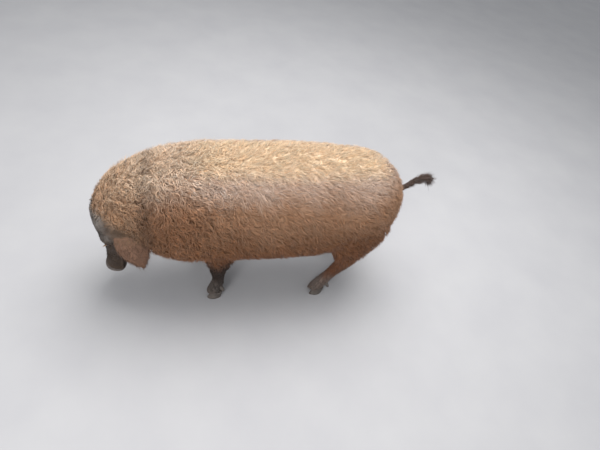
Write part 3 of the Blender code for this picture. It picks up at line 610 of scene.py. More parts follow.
def ear_rings(side):
    """The rings of a cupped leaf that hangs beside the face; each has an outer and inner row."""
    spine = smooth_rows(EAR_SPINE, EAR_STEPS)
    shape = np.array(EAR_SHAPE)
    rings = []
    for i, share in enumerate(np.linspace(0, 1, len(spine))):
        forward, out, height = spine[i]
        middle = body_point(forward, out * side, height)
        step = spine[min(i + 1, len(spine) - 1)] - spine[max(i - 1, 0)]
        way = Vector((-step[0], step[1] * side, step[2])).normalized()
        guide = Vector((EAR_ACROSS.x, EAR_ACROSS.y * side, EAR_ACROSS.z))
        across = (guide - way * guide.dot(way)).normalized()
        outward = across.cross(way)
        if outward.y * side < 0:
            outward.negate()
        width, arc, thickness = (np.interp(share, shape[:, 0], shape[:, k]) for k in (1, 2, 3))
        radius = width * EAR_HALF_WIDTH / arc
        outer = []
        inner = []
        for t in np.linspace(-1, 1, EAR_COLUMNS):
            turn = arc * t
            facing = across * math.sin(turn) + outward * math.cos(turn)
            ripple = EAR_RIPPLE * share * abs(t) ** 3 * math.sin(9 * share + 2 * t + side)
            place = middle + across * (radius * math.sin(turn))
            place -= outward * (radius * (1 - math.cos(turn)) - ripple)
            half = thickness / 2 * (0.45 + 0.55 * (1 - t * t))
            outer.append(place + facing * half)
            inner.append(place - facing * half)
        rings.append(outer + inner[::-1])
    return rings


def softness(points):
    """How strongly the fused form is smoothed: fully on the trunk, little on legs and snout."""
    leg = fade(points[:, 2], *SOFT_LEG)
    face = fade(along_head(points), *SOFT_FACE) * fade(forward_of(points), *FACE_FORWARD)
    return np.maximum(SOFT_LEAST, leg * (1 - face))


def refine_head(obj, start):
    """Splits the faces of the face and muzzle, so that they can carry lips and wrinkles."""
    shell = bmesh.new()
    shell.from_mesh(obj.data)
    axis_start = HEAD_ORIGIN.dot(HEAD_AXIS)
    edges = []
    for edge in shell.edges:
        place = (edge.verts[0].co + edge.verts[1].co) / 2
        if RUMP_X - place.x > FINE_FORWARD and place.dot(HEAD_AXIS) - axis_start > start:
            edges.append(edge)
    bmesh.ops.subdivide_edges(shell, edges=edges, cuts=1, use_grid_fill=True, smooth=0.0)
    shell.to_mesh(obj.data)
    shell.free()


def bump(value, middle, width):
    """A smooth bump of height 1."""
    return np.exp(-(((value - middle) / width) ** 2))


def segment_distance(first, second, ends):
    """Distance of points in a plane from a chain of straight lines."""
    nearest = np.full(len(first), 1.0)
    for (a1, a2), (b1, b2) in zip(ends, ends[1:]):
        step = np.array((b1 - a1, b2 - a2))
        share = ((first - a1) * step[0] + (second - a2) * step[1]) / (step @ step)
        share = np.clip(share, 0, 1)
        away = np.hypot(first - a1 - share * step[0], second - a2 - share * step[1])
        nearest = np.minimum(nearest, away)
    return nearest


# Wrinkles over the snout and beside it: place along the head and depth
SNOUT_WRINKLES = ((0.192, 0.0014), (0.212, 0.0024), (0.229, 0.0030), (0.246, 0.0028))
SIDE_WRINKLES = ((0.165, 0.0016), (0.185, 0.0020), (0.205, 0.0016))
# Folds round the eye: distance from its middle and depth
EYE_FOLDS = ((0.0225, 0.0030), (0.0300, 0.0024))


def face_relief(points):
    """Lips, wrinkles, brow, cheek and eye folds: how far the face's skin moves out."""
    along = along_head(points)
    up = up_head(points)
    out = np.abs(points[:, 1])
    beside = fade(out, 0.008, 0.024)
    mouth = segment_distance(along, up, MOUTH)
    moved = beside * (0.0034 * bump(mouth, 0.0080, 0.0045) - 0.0080 * bump(mouth, 0, 0.0024))
    on_top = fade(up, -0.005, 0.020)
    for middle, depth in SNOUT_WRINKLES:
        bend = middle - 0.30 * out
        moved -= on_top * depth * bump(along, bend, 0.0030)
        moved += on_top * depth * 0.7 * bump(along, bend - 0.008, 0.0050)
    side = fade(out, 0.025, 0.045)
    for middle, depth in SIDE_WRINKLES:
        moved -= side * (1 - on_top) * depth * bump(along + 0.5 * up, middle, 0.0034)
    brow = np.hypot(along - EYE_ALONG + 0.020, up - EYE_UP - 0.014)
    moved += 0.0110 * side * bump(brow, 0, 0.018)
    eye = np.hypot(along - EYE_ALONG, (up - EYE_UP) * 1.2)
    moved -= 0.0045 * side * bump(eye, 0.0, 0.018)
    below = fade(along - EYE_ALONG - 0.3 * (up - EYE_UP), -0.004, 0.012)
    above = fade(EYE_ALONG - along, 0.000, 0.012)
    for reach, depth in EYE_FOLDS:
        moved -= side * below * depth * bump(eye, reach, 0.0028)
        moved += side * below * depth * 0.8 * bump(eye, reach + 0.0050, 0.0040)
        moved -= side * above * depth * 0.8 * bump(eye, reach + 0.006, 0.0030)
    cheek = np.hypot(along - 0.080, up + 0.050)
    moved += 0.0120 * side * bump(cheek, 0, 0.040)
    moved -= 0.0045 * side * bump(cheek, 0.056, 0.0075)
    frown = bump(out, 0.016, 0.0045) * bump(along, 0.055, 0.030) * fade(up, 0.03, 0.06)
    moved -= 0.0024 * frown
    flare = fade(along, 0.262, 0.286) * fade(up, -0.030, -0.018)
    return moved * fade(along, 0.0, 0.04) * (1 - fade(along, 0.275, 0.288)) + 0.0035 * flare


def shape_chin(points):
    """The lower jaw drawn in and set back behind the snout disc, under the line of the mouth."""
    along = along_head(points)
    up = up_head(points)
    line = np.interp(along, [row[0] for row in MOUTH], [row[1] for row in MOUTH])
    below = fade(line - up, -0.0010, 0.0050) * fade(along, 0.150, 0.200) * face_share(points)
    moved = points.copy()
    moved[:, 1] *= 1 - 0.20 * below * fade(along, 0.17, 0.26)
    back = below * CHIN_SETBACK * fade(along, 0.245, 0.292)
    lift = below * CHIN_LIFT * fade(along, 0.200, 0.285) * fade(line - up, 0.004, 0.018)
    moved -= np.array(HEAD_AXIS) * back[:, None]
    return moved + np.array(HEAD_UP) * lift[:, None]


def make_skin():
    """One closed skin for trunk, neck, head, legs, ears and tail, inside the coat."""
    forms = [make_trunk(), make_head_form(), *(make_leg_form(foot) for foot in FEET)]
    skin = join("skin", forms)
    remesh(skin, FUSE_VOXEL)
    smooth(skin, SOFTEN_STEPS, softness(points_of(skin.data)[0]))
    points, normals = points_of(skin.data)
    share = SKIN_SHARE + (FACE_SKIN_SHARE - SKIN_SHARE) * short_face(points)
    set_points(skin.data, points + normals * (coat_depth(points) * share)[:, None])
    remesh(skin, SKIN_VOXEL)
    smooth(skin, SETTLE_STEPS)
    for start in FINE_ALONG:
        refine_head(skin, start)
        smooth(skin, 2, 0.9 * face_share(points_of(skin.data)[0]))
    points, normals = points_of(skin.data)
    set_points(skin.data, shape_chin(points + normals * face_relief(points)[:, None]))
    ears = [loft("ear", ear_rings(side)) for side in (-1, 1)]
    boolean(skin, "UNION", [*ears, make_tail_form()])
    return skin


# Colours of the body, the same for skin and coat

def patches(points, scale, seed):
    """Soft random patches from 0 to 1."""
    shift = Vector((seed * 7.3, seed * 3.1, seed * 5.7))
    values = [noise.noise(Vector(p) * scale + shift) for p in points]
    return np.clip(np.array(values) * 0.5 + 0.5, 0, 1)


def near_head_place(points, place, reach):
    """1 at a place on either side of the head, fading with the distance from it."""
    along, up, out = place
    away = np.hypot(along_head(points) - along, up_head(points) - up)
    return bump(np.hypot(away, np.abs(points[:, 1]) - out), 0, reach)


def body_colour(points, normals):
    """The colour of the coat, and of the skin under it, at points of the body."""
    forward = forward_of(points)
    height = points[:, 2]
    up = normals[:, 2]
    along = along_head(points)
    above = up_head(points)
    large = patches(points, 7.0, 1)
    small = patches(points, 26.0, 2)
    flecks = patches(points, 70.0, 4)
    grains = patches(points, 190.0, 6)
    face = short_face(points)
    # Painted shade: the front legs, in their brown and in their mud, are painted darker than the hind
    # legs.
    front = fade(forward, 0.55, 0.60)
    behind_head = 1 - fade(forward, 0.95, 1.0)
    # Painted light: gold for the top of the back and neck, a little less towards the head.
    lit_gold = GOLD * (1 - 0.22 * fade(forward, 0.75, 0.95))[:, None]
    leg_brown_and_shade = mix(np.tile(DARK_RUST * 0.85, (len(points), 1)), BROWN * 0.38, front)
    leg_mud_and_shade = LEG_MUD * (0.8 + 0.4 * large)[:, None] * (1 - 0.35 * front)[:, None]
    # Painted light: the top of the back and neck, where the coat faces up, takes the gold.
    top = fade(height, 0.635, 0.70) * fade(up, 0.76, 0.98)
    shoulder = fade(forward, 0.70, 0.92) * (1 - fade(height, 0.54, 0.68))
    poll = fade(forward, 1.00, 1.12) * (1 - 0.7 * fade(height, 0.60, 0.68))
    # Painted light: paler coat where the poll faces up.
    lit_poll_top = fade(forward, 0.95, 1.04) * fade(up, 0.40, 0.85) * (1 - face)
    # Painted light: paler cream and gold along the crest of the neck.
    lit_crest = fade(forward, 0.80, 0.95) * fade(height + 0.04 * (large - 0.5), 0.605, 0.680)
    # Painted shade: dark brown low on the cheek and jowl.
    cheek = fade(forward, 0.94, 1.06) * (1 - fade(height, 0.30, 0.43))
    thigh = fade(0.34 - forward, 0.0, 0.16) * (1 - fade(height, 0.34, 0.50))
    # Painted shade: dark brown on the upper front legs.
    shaded_foreleg = fade(forward, 0.62, 0.70) * (1 - fade(forward, 0.90, 0.96))
    forehead = face * fade(above, 0.01, 0.06) * (1 - fade(along, 0.02, 0.10))
    dried = fade(0.7 * small + 0.5 * flecks + 0.3 * grains, 0.52, 0.95)
    leg = (1 - fade(height, 0.16, 0.30)) * behind_head
    muddy = (1 - fade(height + 0.05 * (small - 0.5), 0.07, 0.17)) * behind_head
    # Painted shade: darker brown under the head.
    jaw = fade(-above, 0.0, 0.05) * fade(forward, 1.0, 1.06)
    tail = fade(-forward, 0.020, 0.045) * on_tail(points)
    colour = np.tile(DARK_RUST, (len(points), 1))
    for tint, share in (
        (RUST, fade(height, 0.22, 0.42)),
        (GINGER, fade(height + 0.10 * (large - 0.5), 0.36, 0.58)),
        # Painted light: cream where the coat faces up.
        (CREAM, fade(up + 0.5 * (large - 0.5), 0.32, 0.92)),
        (lit_gold, top * (0.6 + 0.4 * small)),
        (mix(RUST, GINGER, 0.2), 0.85 * shoulder),
        (POLL * (0.80 + 0.4 * small)[:, None], poll * 0.85),
        (mix(CREAM, GOLD, 0.3), 0.7 * lit_crest),
        (mix(CREAM, GOLD, 0.5), 0.6 * lit_poll_top),
        (mix(DARK_RUST, BROWN, 0.55), 0.9 * cheek),
        (mix(DARK_RUST, RUST, 0.6), 0.8 * thigh),
        (BROWN * 0.45, 0.9 * shaded_foreleg * (1 - fade(height, 0.23, 0.34))),
        # Painted shade: darker where the coat faces down.
        (DARK_RUST * 0.9, 0.75 * fade(-up, 0.2, 0.7)),
        (FACE_BROWN * (0.8 + 0.4 * small)[:, None], face),
        (POLL * 0.62, 0.8 * near_head_place(points, EAR_ROOT, EAR_ROOT_REACH)),
        (MUD, 0.95 * dried * near_head_place(points, MUD_PLACE, MUD_REACH)),
        (MUD * 0.6, 0.45 * forehead * dried),
        (leg_brown_and_shade * (0.85 + 0.3 * small)[:, None], leg * 0.9),
        (leg_mud_and_shade, 0.85 * muddy),
        (BROWN * 1.15, 0.5 * jaw * (1 - 0.4 * face)),
        (TASSEL, tail),
    ):
        colour = mix(colour, tint, share)
    return colour


# Materials

class Nodes:
    """A material's nodes, added one after another and linked by socket names."""

    def __init__(self, name, roughness):
        self.material = bpy.data.materials.new(name)
        self.material.use_nodes = True
        self.tree = self.material.node_tree
        self.shader = self.tree.nodes["Principled BSDF"]
        self.shader.inputs["Roughness"].default_value = roughness

    def add(self, kind, **values):
        """A node whose named inputs or properties are set; "a_b" stands for the input "A B"."""
        node = self.tree.nodes.new(kind)
        for key, value in values.items():
            title = key.replace("_", " ").title()
            if title in node.inputs:
                node.inputs[title].default_value = value
            else:
                setattr(node, key, value)
        return node

    def link(self, source, target):
        self.tree.links.new(source, target)

    def place(self):
        return self.add("ShaderNodeTexCoord").outputs["Object"]

    def texture(self, kind, output, place=None, **values):
        """A texture over the piece's own coordinates, or over those that are given."""
        node = self.add("ShaderNodeTex" + kind, **values)
        self.link(place or self.place(), node.inputs["Vector"])
        return node.outputs[output]

    def noise(self, scale, detail=4.0, roughness=0.55):
        return self.texture("Noise", "Fac", scale=scale, detail=detail, roughness=roughness)

    def cells(self, scale):
        """Small cells of skin, as the distance from their edges."""
        return self.texture("Voronoi", "Distance", scale=scale, feature="DISTANCE_TO_EDGE")

    def ramp(self, value, stops):
        """Colours or greys along a value, as (place, colour) pairs."""
        node = self.add("ShaderNodeValToRGB")
        elements = node.color_ramp.elements
        elements[0].position = stops[0][0]
        elements[1].position = stops[-1][0]
        for where, _ in stops[1:-1]:
            elements.new(where)
        for element, (_, colour) in zip(elements, stops):
            element.color = (*colour, 1) if np.ndim(colour) else (colour, colour, colour, 1)
        self.link(value, node.inputs["Fac"])
        return node.outputs["Color"]

    def multiply(self, first, second):
        node = self.add("ShaderNodeMix", data_type="RGBA", blend_type="MULTIPLY")
        node.inputs[0].default_value = 1.0
        self.link(first, node.inputs[6])
        self.link(second, node.inputs[7])
        return node.outputs[2]

    def bumps(self, layers):
        """Stacked bumps, as (height socket, depth in metres) pairs."""
        normal = None
        for height, depth in layers:
            node = self.add("ShaderNodeBump", strength=1.0, distance=depth)
            self.link(height, node.inputs["Height"])
            if normal:
                self.link(normal, node.inputs["Normal"])
            normal = node.outputs["Normal"]
        self.link(normal, self.shader.inputs["Normal"])

    def colour(self, socket):
        self.link(socket, self.shader.inputs["Base Color"])

    def attribute(self, name, output="Color"):
        return self.add("ShaderNodeAttribute", attribute_name=name).outputs[output]


def coat_material():
    """Hair coloured by body place, with streaks of single hairs along each tuft."""
    nodes = Nodes("coat", 0.60)
    streaks = nodes.texture("Noise", "Fac", nodes.attribute("lock", "Vector"), scale=1.0, detail=2.0)
    shades = nodes.ramp(streaks, ((0.32, 0.66), (0.66, 1.16)))
    nodes.colour(nodes.multiply(nodes.attribute("coat_colour"), shades))
    nodes.bumps(((streaks, 0.0009),))
    nodes.shader.inputs["Specular IOR Level"].default_value = 0.35
    nodes.shader.inputs["Sheen Weight"].default_value = 0.12
    nodes.shader.inputs["Sheen Roughness"].default_value = 0.4
    return nodes.material


def skin_material():
    nodes = Nodes("skin", 0.66)
    blotches = nodes.ramp(nodes.noise(55.0, 5.0), ((0.3, 0.78), (0.7, 1.0)))
    nodes.colour(nodes.multiply(nodes.attribute("coat_colour"), blotches))
    nodes.bumps(((nodes.cells(320.0), 0.0016), (nodes.noise(150.0, 6.0, 0.7), 0.0012)))
    nodes.shader.inputs["Specular IOR Level"].default_value = 0.35
    return nodes.material


def disc_material():
    nodes = Nodes("snout_disc", 0.38)
    nodes.colour(nodes.ramp(nodes.noise(60.0), ((0.3, SLATE * 0.8), (0.7, SLATE * 1.25))))
    nodes.bumps(((nodes.cells(420.0), 0.0012), (nodes.noise(90.0), 0.0010)))
    return nodes.material


def hoof_material():
    nodes = Nodes("hoof", 0.5)
    bands = nodes.texture("Wave", "Fac", scale=60.0, distortion=2.5, bands_direction="Z")
    tones = ((0.0, srgb(94, 86, 79)), (0.6, srgb(101, 92, 85)), (1.0, srgb(110, 101, 94)))
    dirt = nodes.ramp(nodes.noise(45.0, 5.0), ((0.35, 0.55), (0.7, 1.15)))
    nodes.colour(nodes.multiply(nodes.ramp(bands, tones), dirt))
    nodes.bumps(((bands, 0.00012), (nodes.noise(260.0), 0.0006)))
    return nodes.material


def eye_material():
    """Dark iris and a pupil that is wider than high, round the eyeball's own Z axis."""
    nodes = Nodes("eye", 0.04)
    stretched = nodes.add("ShaderNodeMapping")
    stretched.inputs["Scale"].default_value = (1.0, 1.35, 0.0)
    nodes.link(nodes.place(), stretched.inputs["Vector"])
    away = nodes.add("ShaderNodeVectorMath", operation="LENGTH")
    nodes.link(stretched.outputs["Vector"], away.inputs[0])
    scaled = nodes.add("ShaderNodeMath", operation="MULTIPLY")
    scaled.inputs[1].default_value = 1 / EYE_RADIUS
    nodes.link(away.outputs["Value"], scaled.inputs[0])
    tones = (
        (0.00, srgb(6, 5, 5)),
        (0.30, srgb(8, 6, 5)),
        (0.36, srgb(52, 30, 16)),
        (0.62, srgb(30, 18, 11)),
        (0.72, srgb(14, 10, 8)),
        (0.80, srgb(86, 66, 56)),
    )
    nodes.colour(nodes.ramp(scaled.outputs["Value"], tones))
    return nodes.material


def floor_material():
    nodes = Nodes("floor", 0.9)
    tones = ((0.3, srgb(180, 179, 181)), (0.7, srgb(186, 185, 186)))
    nodes.colour(nodes.ramp(nodes.noise(3.0), tones))
    return nodes.material


def put_colour(mesh, colours):
    """Stores one colour for each vertex."""
    attribute = mesh.attributes.new("coat_colour", "FLOAT_COLOR", "POINT")
    rgba = np.ones((len(colours), 4), np.float32)
    rgba[:, :3] = colours
    attribute.data.foreach_set("color", rgba.ravel())


# Places of the coat's roots

# Skin this close to the ear's leaf belongs to it, and hair this close is laid out with it.
EAR_SKIN = 0.004
EAR_CHART_REACH = 0.005
# Both ears lie beyond these places out and forward, and below this height.
EAR_OUT = 0.05
EAR_FORWARD = 0.95
EAR_HEIGHT = 0.52


class Surface:
    """The skin as arrays, with what part of the body each place belongs to."""

    def __init__(self, skin):
        mesh = skin.data
        mesh.calc_loop_triangles()
        self.points, self.normals = points_of(mesh)
        corners = np.empty(len(mesh.loop_triangles) * 3, np.int32)
        mesh.loop_triangles.foreach_get("vertices", corners)
        self.corners = corners.reshape(-1, 3)
        a, b, c = (self.points[self.corners[:, k]] for k in range(3))
        self.areas = np.linalg.norm(np.cross(b - a, c - a), axis=1) / 2
        self.middles = (a + b + c) / 3
        self.ears = {side: self.ear_tree(side) for side in (-1, 1)}
        self.on_ear = self.ear_places(self.middles)[0] < EAR_SKIN

    def ear_tree(self, side):
        """A search tree of the ear's leaf, with each point's share along and across it."""
        rings = ear_rings(side)
        tree = KDTree(len(rings) * len(rings[0]))
        facts = []
        for i, ring in enumerate(rings):
            for k, point in enumerate(ring):
                column = k if k < EAR_COLUMNS else 2 * EAR_COLUMNS - 1 - k
                tree.insert(point, len(facts))
                across = 2 * column / (EAR_COLUMNS - 1) - 1
                facts.append((i / (len(rings) - 1), across, float(k < EAR_COLUMNS)))
        tree.balance()
        return tree, np.array(facts)

    def ear_places(self, points):
        """Distance from the nearest ear, and the shares along, across and on its outer face."""
        near = np.full(len(points), 1.0)
        facts = np.zeros((len(points), 3))
        close = np.abs(points[:, 1]) > EAR_OUT
        close &= forward_of(points) > EAR_FORWARD
        close &= points[:, 2] < EAR_HEIGHT
        for i in np.flatnonzero(close):
            side = -1 if points[i, 1] < 0 else 1
            tree, table = self.ears[side]
            _, index, away = tree.find(points[i])
            near[i] = away
            facts[i] = table[index]
        return near, facts

    def scatter(self, count, weight, rng):
        """Random places on the skin, spread by area times the weight of each triangle."""
        share = self.areas * weight
        chosen = rng.choice(len(self.areas), count, p=share / share.sum())
        first = rng.random(count)
        second = rng.random(count)
        over = first + second > 1
        first[over] = 1 - first[over]
        second[over] = 1 - second[over]
        mixes = np.stack((1 - first - second, first, second), axis=1)
        corners = self.corners[chosen]
        points = np.einsum("nk,nkd->nd", mixes, self.points[corners])
        normals = np.einsum("nk,nkd->nd", mixes, self.normals[corners])
        return points, normals / np.linalg.norm(normals, axis=1, keepdims=True)


def on_tail(points):
    """True for points on the tail rather than on the rump."""
    nearest = np.full(len(points), 1.0)
    for place in tail_path()[0]:
        nearest = np.minimum(nearest, np.linalg.norm(points - place, axis=1))
    forward = forward_of(points)
    return (forward < 0) & ((nearest < TAIL_BARE) | (forward < -TAIL_BEHIND))


def unit(vectors):
    return vectors / np.maximum(np.linalg.norm(vectors, axis=-1, keepdims=True), 1e-9)


def along_skin(vectors, normals):
    """The part of each vector that lies in the skin, at length 1."""
    return unit(vectors - normals * np.sum(vectors * normals, axis=1, keepdims=True))


def coat_lie(points, normals):
    """Which way the coat lies at points of the body."""
    forward = forward_of(points)
    height = points[:, 2]
    lie = np.tile((0.85, 0.0, -0.50), (len(points), 1))
    for way, share in (
        ((0.50, 0.0, -0.85), fade(forward, 0.85, 1.0)),
        ((0.20, 0.0, -1.0), 1 - fade(height, 0.20, 0.36)),
        ((0.35, 0.0, -0.9), fade(0.16 - forward, 0.0, 0.10)),
        (-np.array(HEAD_AXIS) * 0.9 + (0.35, 0, 0), short_face(points)),
        ((0.80, 0.0, 0.35), fade(forward, 1.00, 1.14) * fade(height, 0.38, 0.50)),
    ):
        lie = mix(lie, np.array(way), share)
    lie[:, 1] += np.sign(points[:, 1]) * 0.10 * fade(normals[:, 2], 0.3, 0.9)
    return along_skin(lie, normals)


# Unwrap of the skin for the coat's patches

# Each chart's start and size across the unwrap, then up it
CHARTS = {
    "trunk": (0.02, 0.60, 0.02, 0.56),
    "head": (0.66, 0.32, 0.02, 0.56),
    "leg": (0.02, 0.20, 0.62, 0.16),
    "ear": (0.02, 0.20, 0.82, 0.14),
}
CHART_STEP = 0.24
TRUNK_CHART_BACK = RUMP_BACK - 0.25
TRUNK_CHART_LENGTH = 1.55
HEAD_CHART_LENGTH = 0.32
LEG_CHART_HEIGHT = 0.24
LEG_CHART_FORWARD = 0.98
LEG_CHART_REACH = (0.16, 0.08)
CHART_EDGE = 0.005


def turn_share(across, up):
    """How far round a circle a direction lies, from 0 to 1."""
    return np.arctan2(across, up) / (2 * math.pi) + 0.5


def unwrap(surface, points):
    """A place on a flat unwrap of the skin's own shape for each root."""
    places = np.empty((len(points), 2))

    def put(where, chart, across, up, step=0.0):
        start, width, low, height = CHARTS[chart]
        places[where, 0] = (start + step + width * across)[where]
        places[where, 1] = (low + height * up)[where]

    forward = forward_of(points)
    height = points[:, 2]
    middle = np.interp(forward, [row[0] for row in TRUNK], [row[1] for row in TRUNK])
    everywhere = np.full(len(points), True)
    along = (forward - TRUNK_CHART_BACK) / TRUNK_CHART_LENGTH
    put(everywhere, "trunk", along, turn_share(points[:, 1], height - middle))
    along = along_head(points) / HEAD_CHART_LENGTH
    put(face_share(points) > 0.5, "head", along, turn_share(points[:, 1], up_head(points)))
    low = (height < LEG_CHART_HEIGHT) & (forward < LEG_CHART_FORWARD)
    for index, foot in enumerate(FEET):
        x, y = leg_centre(foot, LEG_CHART_HEIGHT / 2)
        aside = np.abs(points[:, :2] - (x, y)) < LEG_CHART_REACH
        turn = turn_share(points[:, 1] - y, points[:, 0] - x)
        near = low & aside.all(axis=1)
        put(near, "leg", turn, height / LEG_CHART_HEIGHT, CHART_STEP * index)
    away, facts = surface.ear_places(points)
    along, across, outer = facts.T
    step = 2 * CHART_STEP * (points[:, 1] < 0) + CHART_STEP * outer
    put(away < EAR_CHART_REACH, "ear", along, across * 0.5 + 0.5, step)
    return np.clip(places, CHART_EDGE, 1 - CHART_EDGE)


# Tufts

# How far tufts differ from their style in length, in rise and in their place on the curl
LENGTH_RANGE = (0.78, 1.22)
RISE_RANGE = (0.75, 1.2)
PHASE_SPREAD = 0.35
# How far groups of tufts differ in size and turn aside
GROUP_SIZE_RANGE = (0.82, 1.18)
GROUP_TURN_SPREAD = 0.45
# Shades differ by the first number low on the body, and by the second less past these heights.
UNEVEN_HEIGHT = (0.34, 0.56)
GROUP_SHADES = (0.24, 0.19)
TUFT_SHADES = (0.30, 0.22)
WARMTH_SPREAD = 0.05
# Shares of a tuft's length over which the painted shade at its root ends and its pale tip begins
ROOT_FADE = (0.0, 0.65)
TIP_FADE = (0.45, 1.0)
TIP_GAIN = 1.55
TIP_LIGHT = 0.02
TIP_BRIGHTEST = 0.9
# A tuft's width at its root, what its middle adds to that, and the least
ROOT_SWELL = 0.62
MIDDLE_SWELL = 0.75
LEAST_SWELL = 0.10
# Range of the numbers that tell one tuft's streaks from another's
LOCK_NUMBERS = 400


def tuft_faces(count, rings):
    """Faces of closed three-sided tufts that end in a point: index rows of three."""
    faces = [(0, 2, 1)]
    for ring in range(rings - 1):
        low = ring * 3
        for k in range(3):
            after = (k + 1) % 3
            faces.append((low + k, low + after, low + 3 + k))
            faces.append((low + after, low + 3 + after, low + 3 + k))
    last = (rings - 1) * 3
    faces.extend((last + k, last + (k + 1) % 3, last + 3) for k in range(3))
    each = rings * 3 + 1
    return (np.array(faces)[None] + np.arange(count)[:, None, None] * each).reshape(-1, 3)


def tuft_lines(roots, normals, lies, style, rng, gather=None):
    """Middle lines of tufts that rise off the skin, lie along it, wave and curl."""
    count = len(roots)
    rings = style["rings"]
    shares = np.linspace(0, 1, rings + 1)[None, :, None]
    length = (style["length"] * rng.uniform(*LENGTH_RANGE, count))[:, None, None]
    rise = style["rise"][:, None, None] * rng.uniform(*RISE_RANGE, count)[:, None, None]
    if gather:
        length = length * gather["size"][:, None, None]
        phase = (gather["phase"] + rng.normal(0, PHASE_SPREAD, count))[:, None, None]
        spin = gather["spin"][:, None, None]
    else:
        phase = rng.uniform(0, 2 * math.pi, count)[:, None, None]
        spin = rng.choice((-1.0, 1.0), count)[:, None, None]
    across = np.cross(normals, lies)
    start = roots[:, None] - normals[:, None] * style["sunk"]
    lift = np.sin(0.5 * math.pi * shares**0.85)
    line = start + lies[:, None] * (length * shares**1.15)
    line = line + normals[:, None] * ((rise + style["sunk"]) * lift)
    turn = 2 * math.pi * style["turns"] * shares * spin + phase
    wave = style["curl"] * np.minimum(1.0, shares * 1.8)
    line = line + across[:, None] * (wave * (np.sin(turn) - np.sin(phase)))
    line = line + normals[:, None] * (wave * style["depth"] * (np.cos(turn) - np.cos(phase)))
    if gather:
        pull = gather["middle"] - roots
        line = line + pull[:, None] * (style["pull"] * shares**1.5)
    return line


def tuft_points(line, normals, width, flat, rings, taper):
    """The corners of each tuft round its middle line, then its tip."""
    way = unit(np.gradient(line, axis=1))
    side = unit(np.cross(way, normals[:, None]))
    over = np.cross(side, way)
    shares = np.linspace(0, 1, rings + 1)[:rings]
    swell = ROOT_SWELL + MIDDLE_SWELL * np.sin(math.pi * np.minimum(1, shares * 1.5))
    swell = np.maximum((1 - shares**taper) * swell, LEAST_SWELL)
    radius = width[:, None, None] * swell[None, :, None]
    corners = []
    for k in range(3):
        turn = 2 * math.pi * k / 3 + math.pi / 2
        reach = side[:, :rings] * math.cos(turn) + over[:, :rings] * (math.sin(turn) * flat)
        corners.append(line[:, :rings] + reach * radius)
    body = np.stack(corners, axis=2).reshape(len(line), rings * 3, 3)
    return np.concatenate((body, line[:, rings:]), axis=1)


def lock_places(count, rings, rng):
    """For each corner of each tuft: its place across, its place along, and the tuft's own number."""
    across = np.append(np.tile((0.0, 0.5, 1.0), rings), 0.5) * STREAKS_ACROSS
    along = np.append(np.repeat(np.arange(rings) / rings, 3), 1.0) * STREAKS_ALONG
    own = rng.uniform(0, LOCK_NUMBERS, count)
    places = np.empty((count, rings * 3 + 1, 3))
    places[:, :, 0] = across
    places[:, :, 1] = along
    places[:, :, 2] = own[:, None]
    return places


def coat_piece(name, points, colours, uvs, locks, rings, material):
    """A mesh object of many tufts, with colours and patches on the unwrap."""
    faces = tuft_faces(len(points), rings)
    mesh = bpy.data.meshes.new(name)
    mesh.from_pydata(points.reshape(-1, 3), [], faces)
    put_colour(mesh, colours.reshape(-1, 3))
    attribute = mesh.attributes.new("lock", "FLOAT_VECTOR", "POINT")
    attribute.data.foreach_set("vector", locks.astype(np.float32).ravel())
    layer = mesh.uv_layers.new(name="OFBake")
    layer.data.foreach_set("uv", uvs.reshape(-1, 2)[faces.ravel()].astype(np.float32).ravel())
    piece = add_object(name, mesh)
    finish(piece, material)
    return piece


def tuft_patches(surface, roots, rings):
    """Each tuft's patch on the unwrap: its corners across it, and its length up it."""
    centres = unwrap(surface, roots)
    up = np.repeat(np.linspace(-0.5, 0.5, rings + 1)[:rings], 3)
    across = np.tile((-0.5, 0.0, 0.5), rings)
    local = np.vstack((np.column_stack((across, up)), (0, 0.5)))
    return centres[:, None] + local[None] * PATCH


def shade_spread(roots, most, drop):
    """How far shades differ, most of all low on the body."""
    return most - drop * fade(roots[:, 2], *UNEVEN_HEIGHT)


def tuft_colours(roots, normals, rings, style, rng, shade=None):
    """Each tuft's colour, with painted shade at its root and pale at its tip."""
    base = body_colour(roots, normals) if style.get("colour") is None else style["colour"]
    spread = shade_spread(roots, *TUFT_SHADES)
    base = base * (1 + spread * rng.uniform(-1, 1, len(roots)))[:, None]
    if shade is not None:
        base = base * shade[:, None]
    warm = rng.normal(0, WARMTH_SPREAD, len(roots))[:, None] * np.array((1.0, 0.0, -1.0))
    base = base * (1 + warm)
    shares = np.append(np.repeat(np.linspace(0, 1, rings + 1)[:rings], 3), 1.0)
    # Painted shade: each tuft is darker towards its root, deep in the coat.
    gain = style["root_shade"] + (1 - style["root_shade"]) * fade(shares, *ROOT_FADE)
    pale = style["tip_gold"] * fade(shares, *TIP_FADE)
    colours = base[:, None] * gain[None, :, None]
    light = np.minimum(base * TIP_GAIN + TIP_LIGHT, TIP_BRIGHTEST)
    return colours * (1 - pale[None, :, None]) + light[:, None] * pale[None, :, None]


def gathers(surface, count, weight, roots, rng):
    """Groups the tufts round shared middles: each group curls alike and draws together."""
    middles, normals = surface.scatter(count, weight, rng)
    tree = KDTree(count)
    for index, middle in enumerate(middles):
        tree.insert(middle, index)
    tree.balance()
    nearest = np.array([tree.find(root)[1] for root in roots])
    shade = shade_spread(roots, *GROUP_SHADES)
    return {
        "middle": middles[nearest],
        "phase": rng.uniform(0, 2 * math.pi, count)[nearest],
        "spin": rng.choice((-1.0, 1.0), count)[nearest],
        "size": rng.uniform(*GROUP_SIZE_RANGE, count)[nearest],
        "turn": rng.normal(0, GROUP_TURN_SPREAD, count)[nearest],
        "shade": 1 + shade * rng.uniform(-1, 1, count)[nearest],
    }


def turned(lies, normals, angles):
    """Each direction turned about its normal."""
    across = np.cross(normals, lies)
    return lies * np.cos(angles)[:, None] + across * np.sin(angles)[:, None]


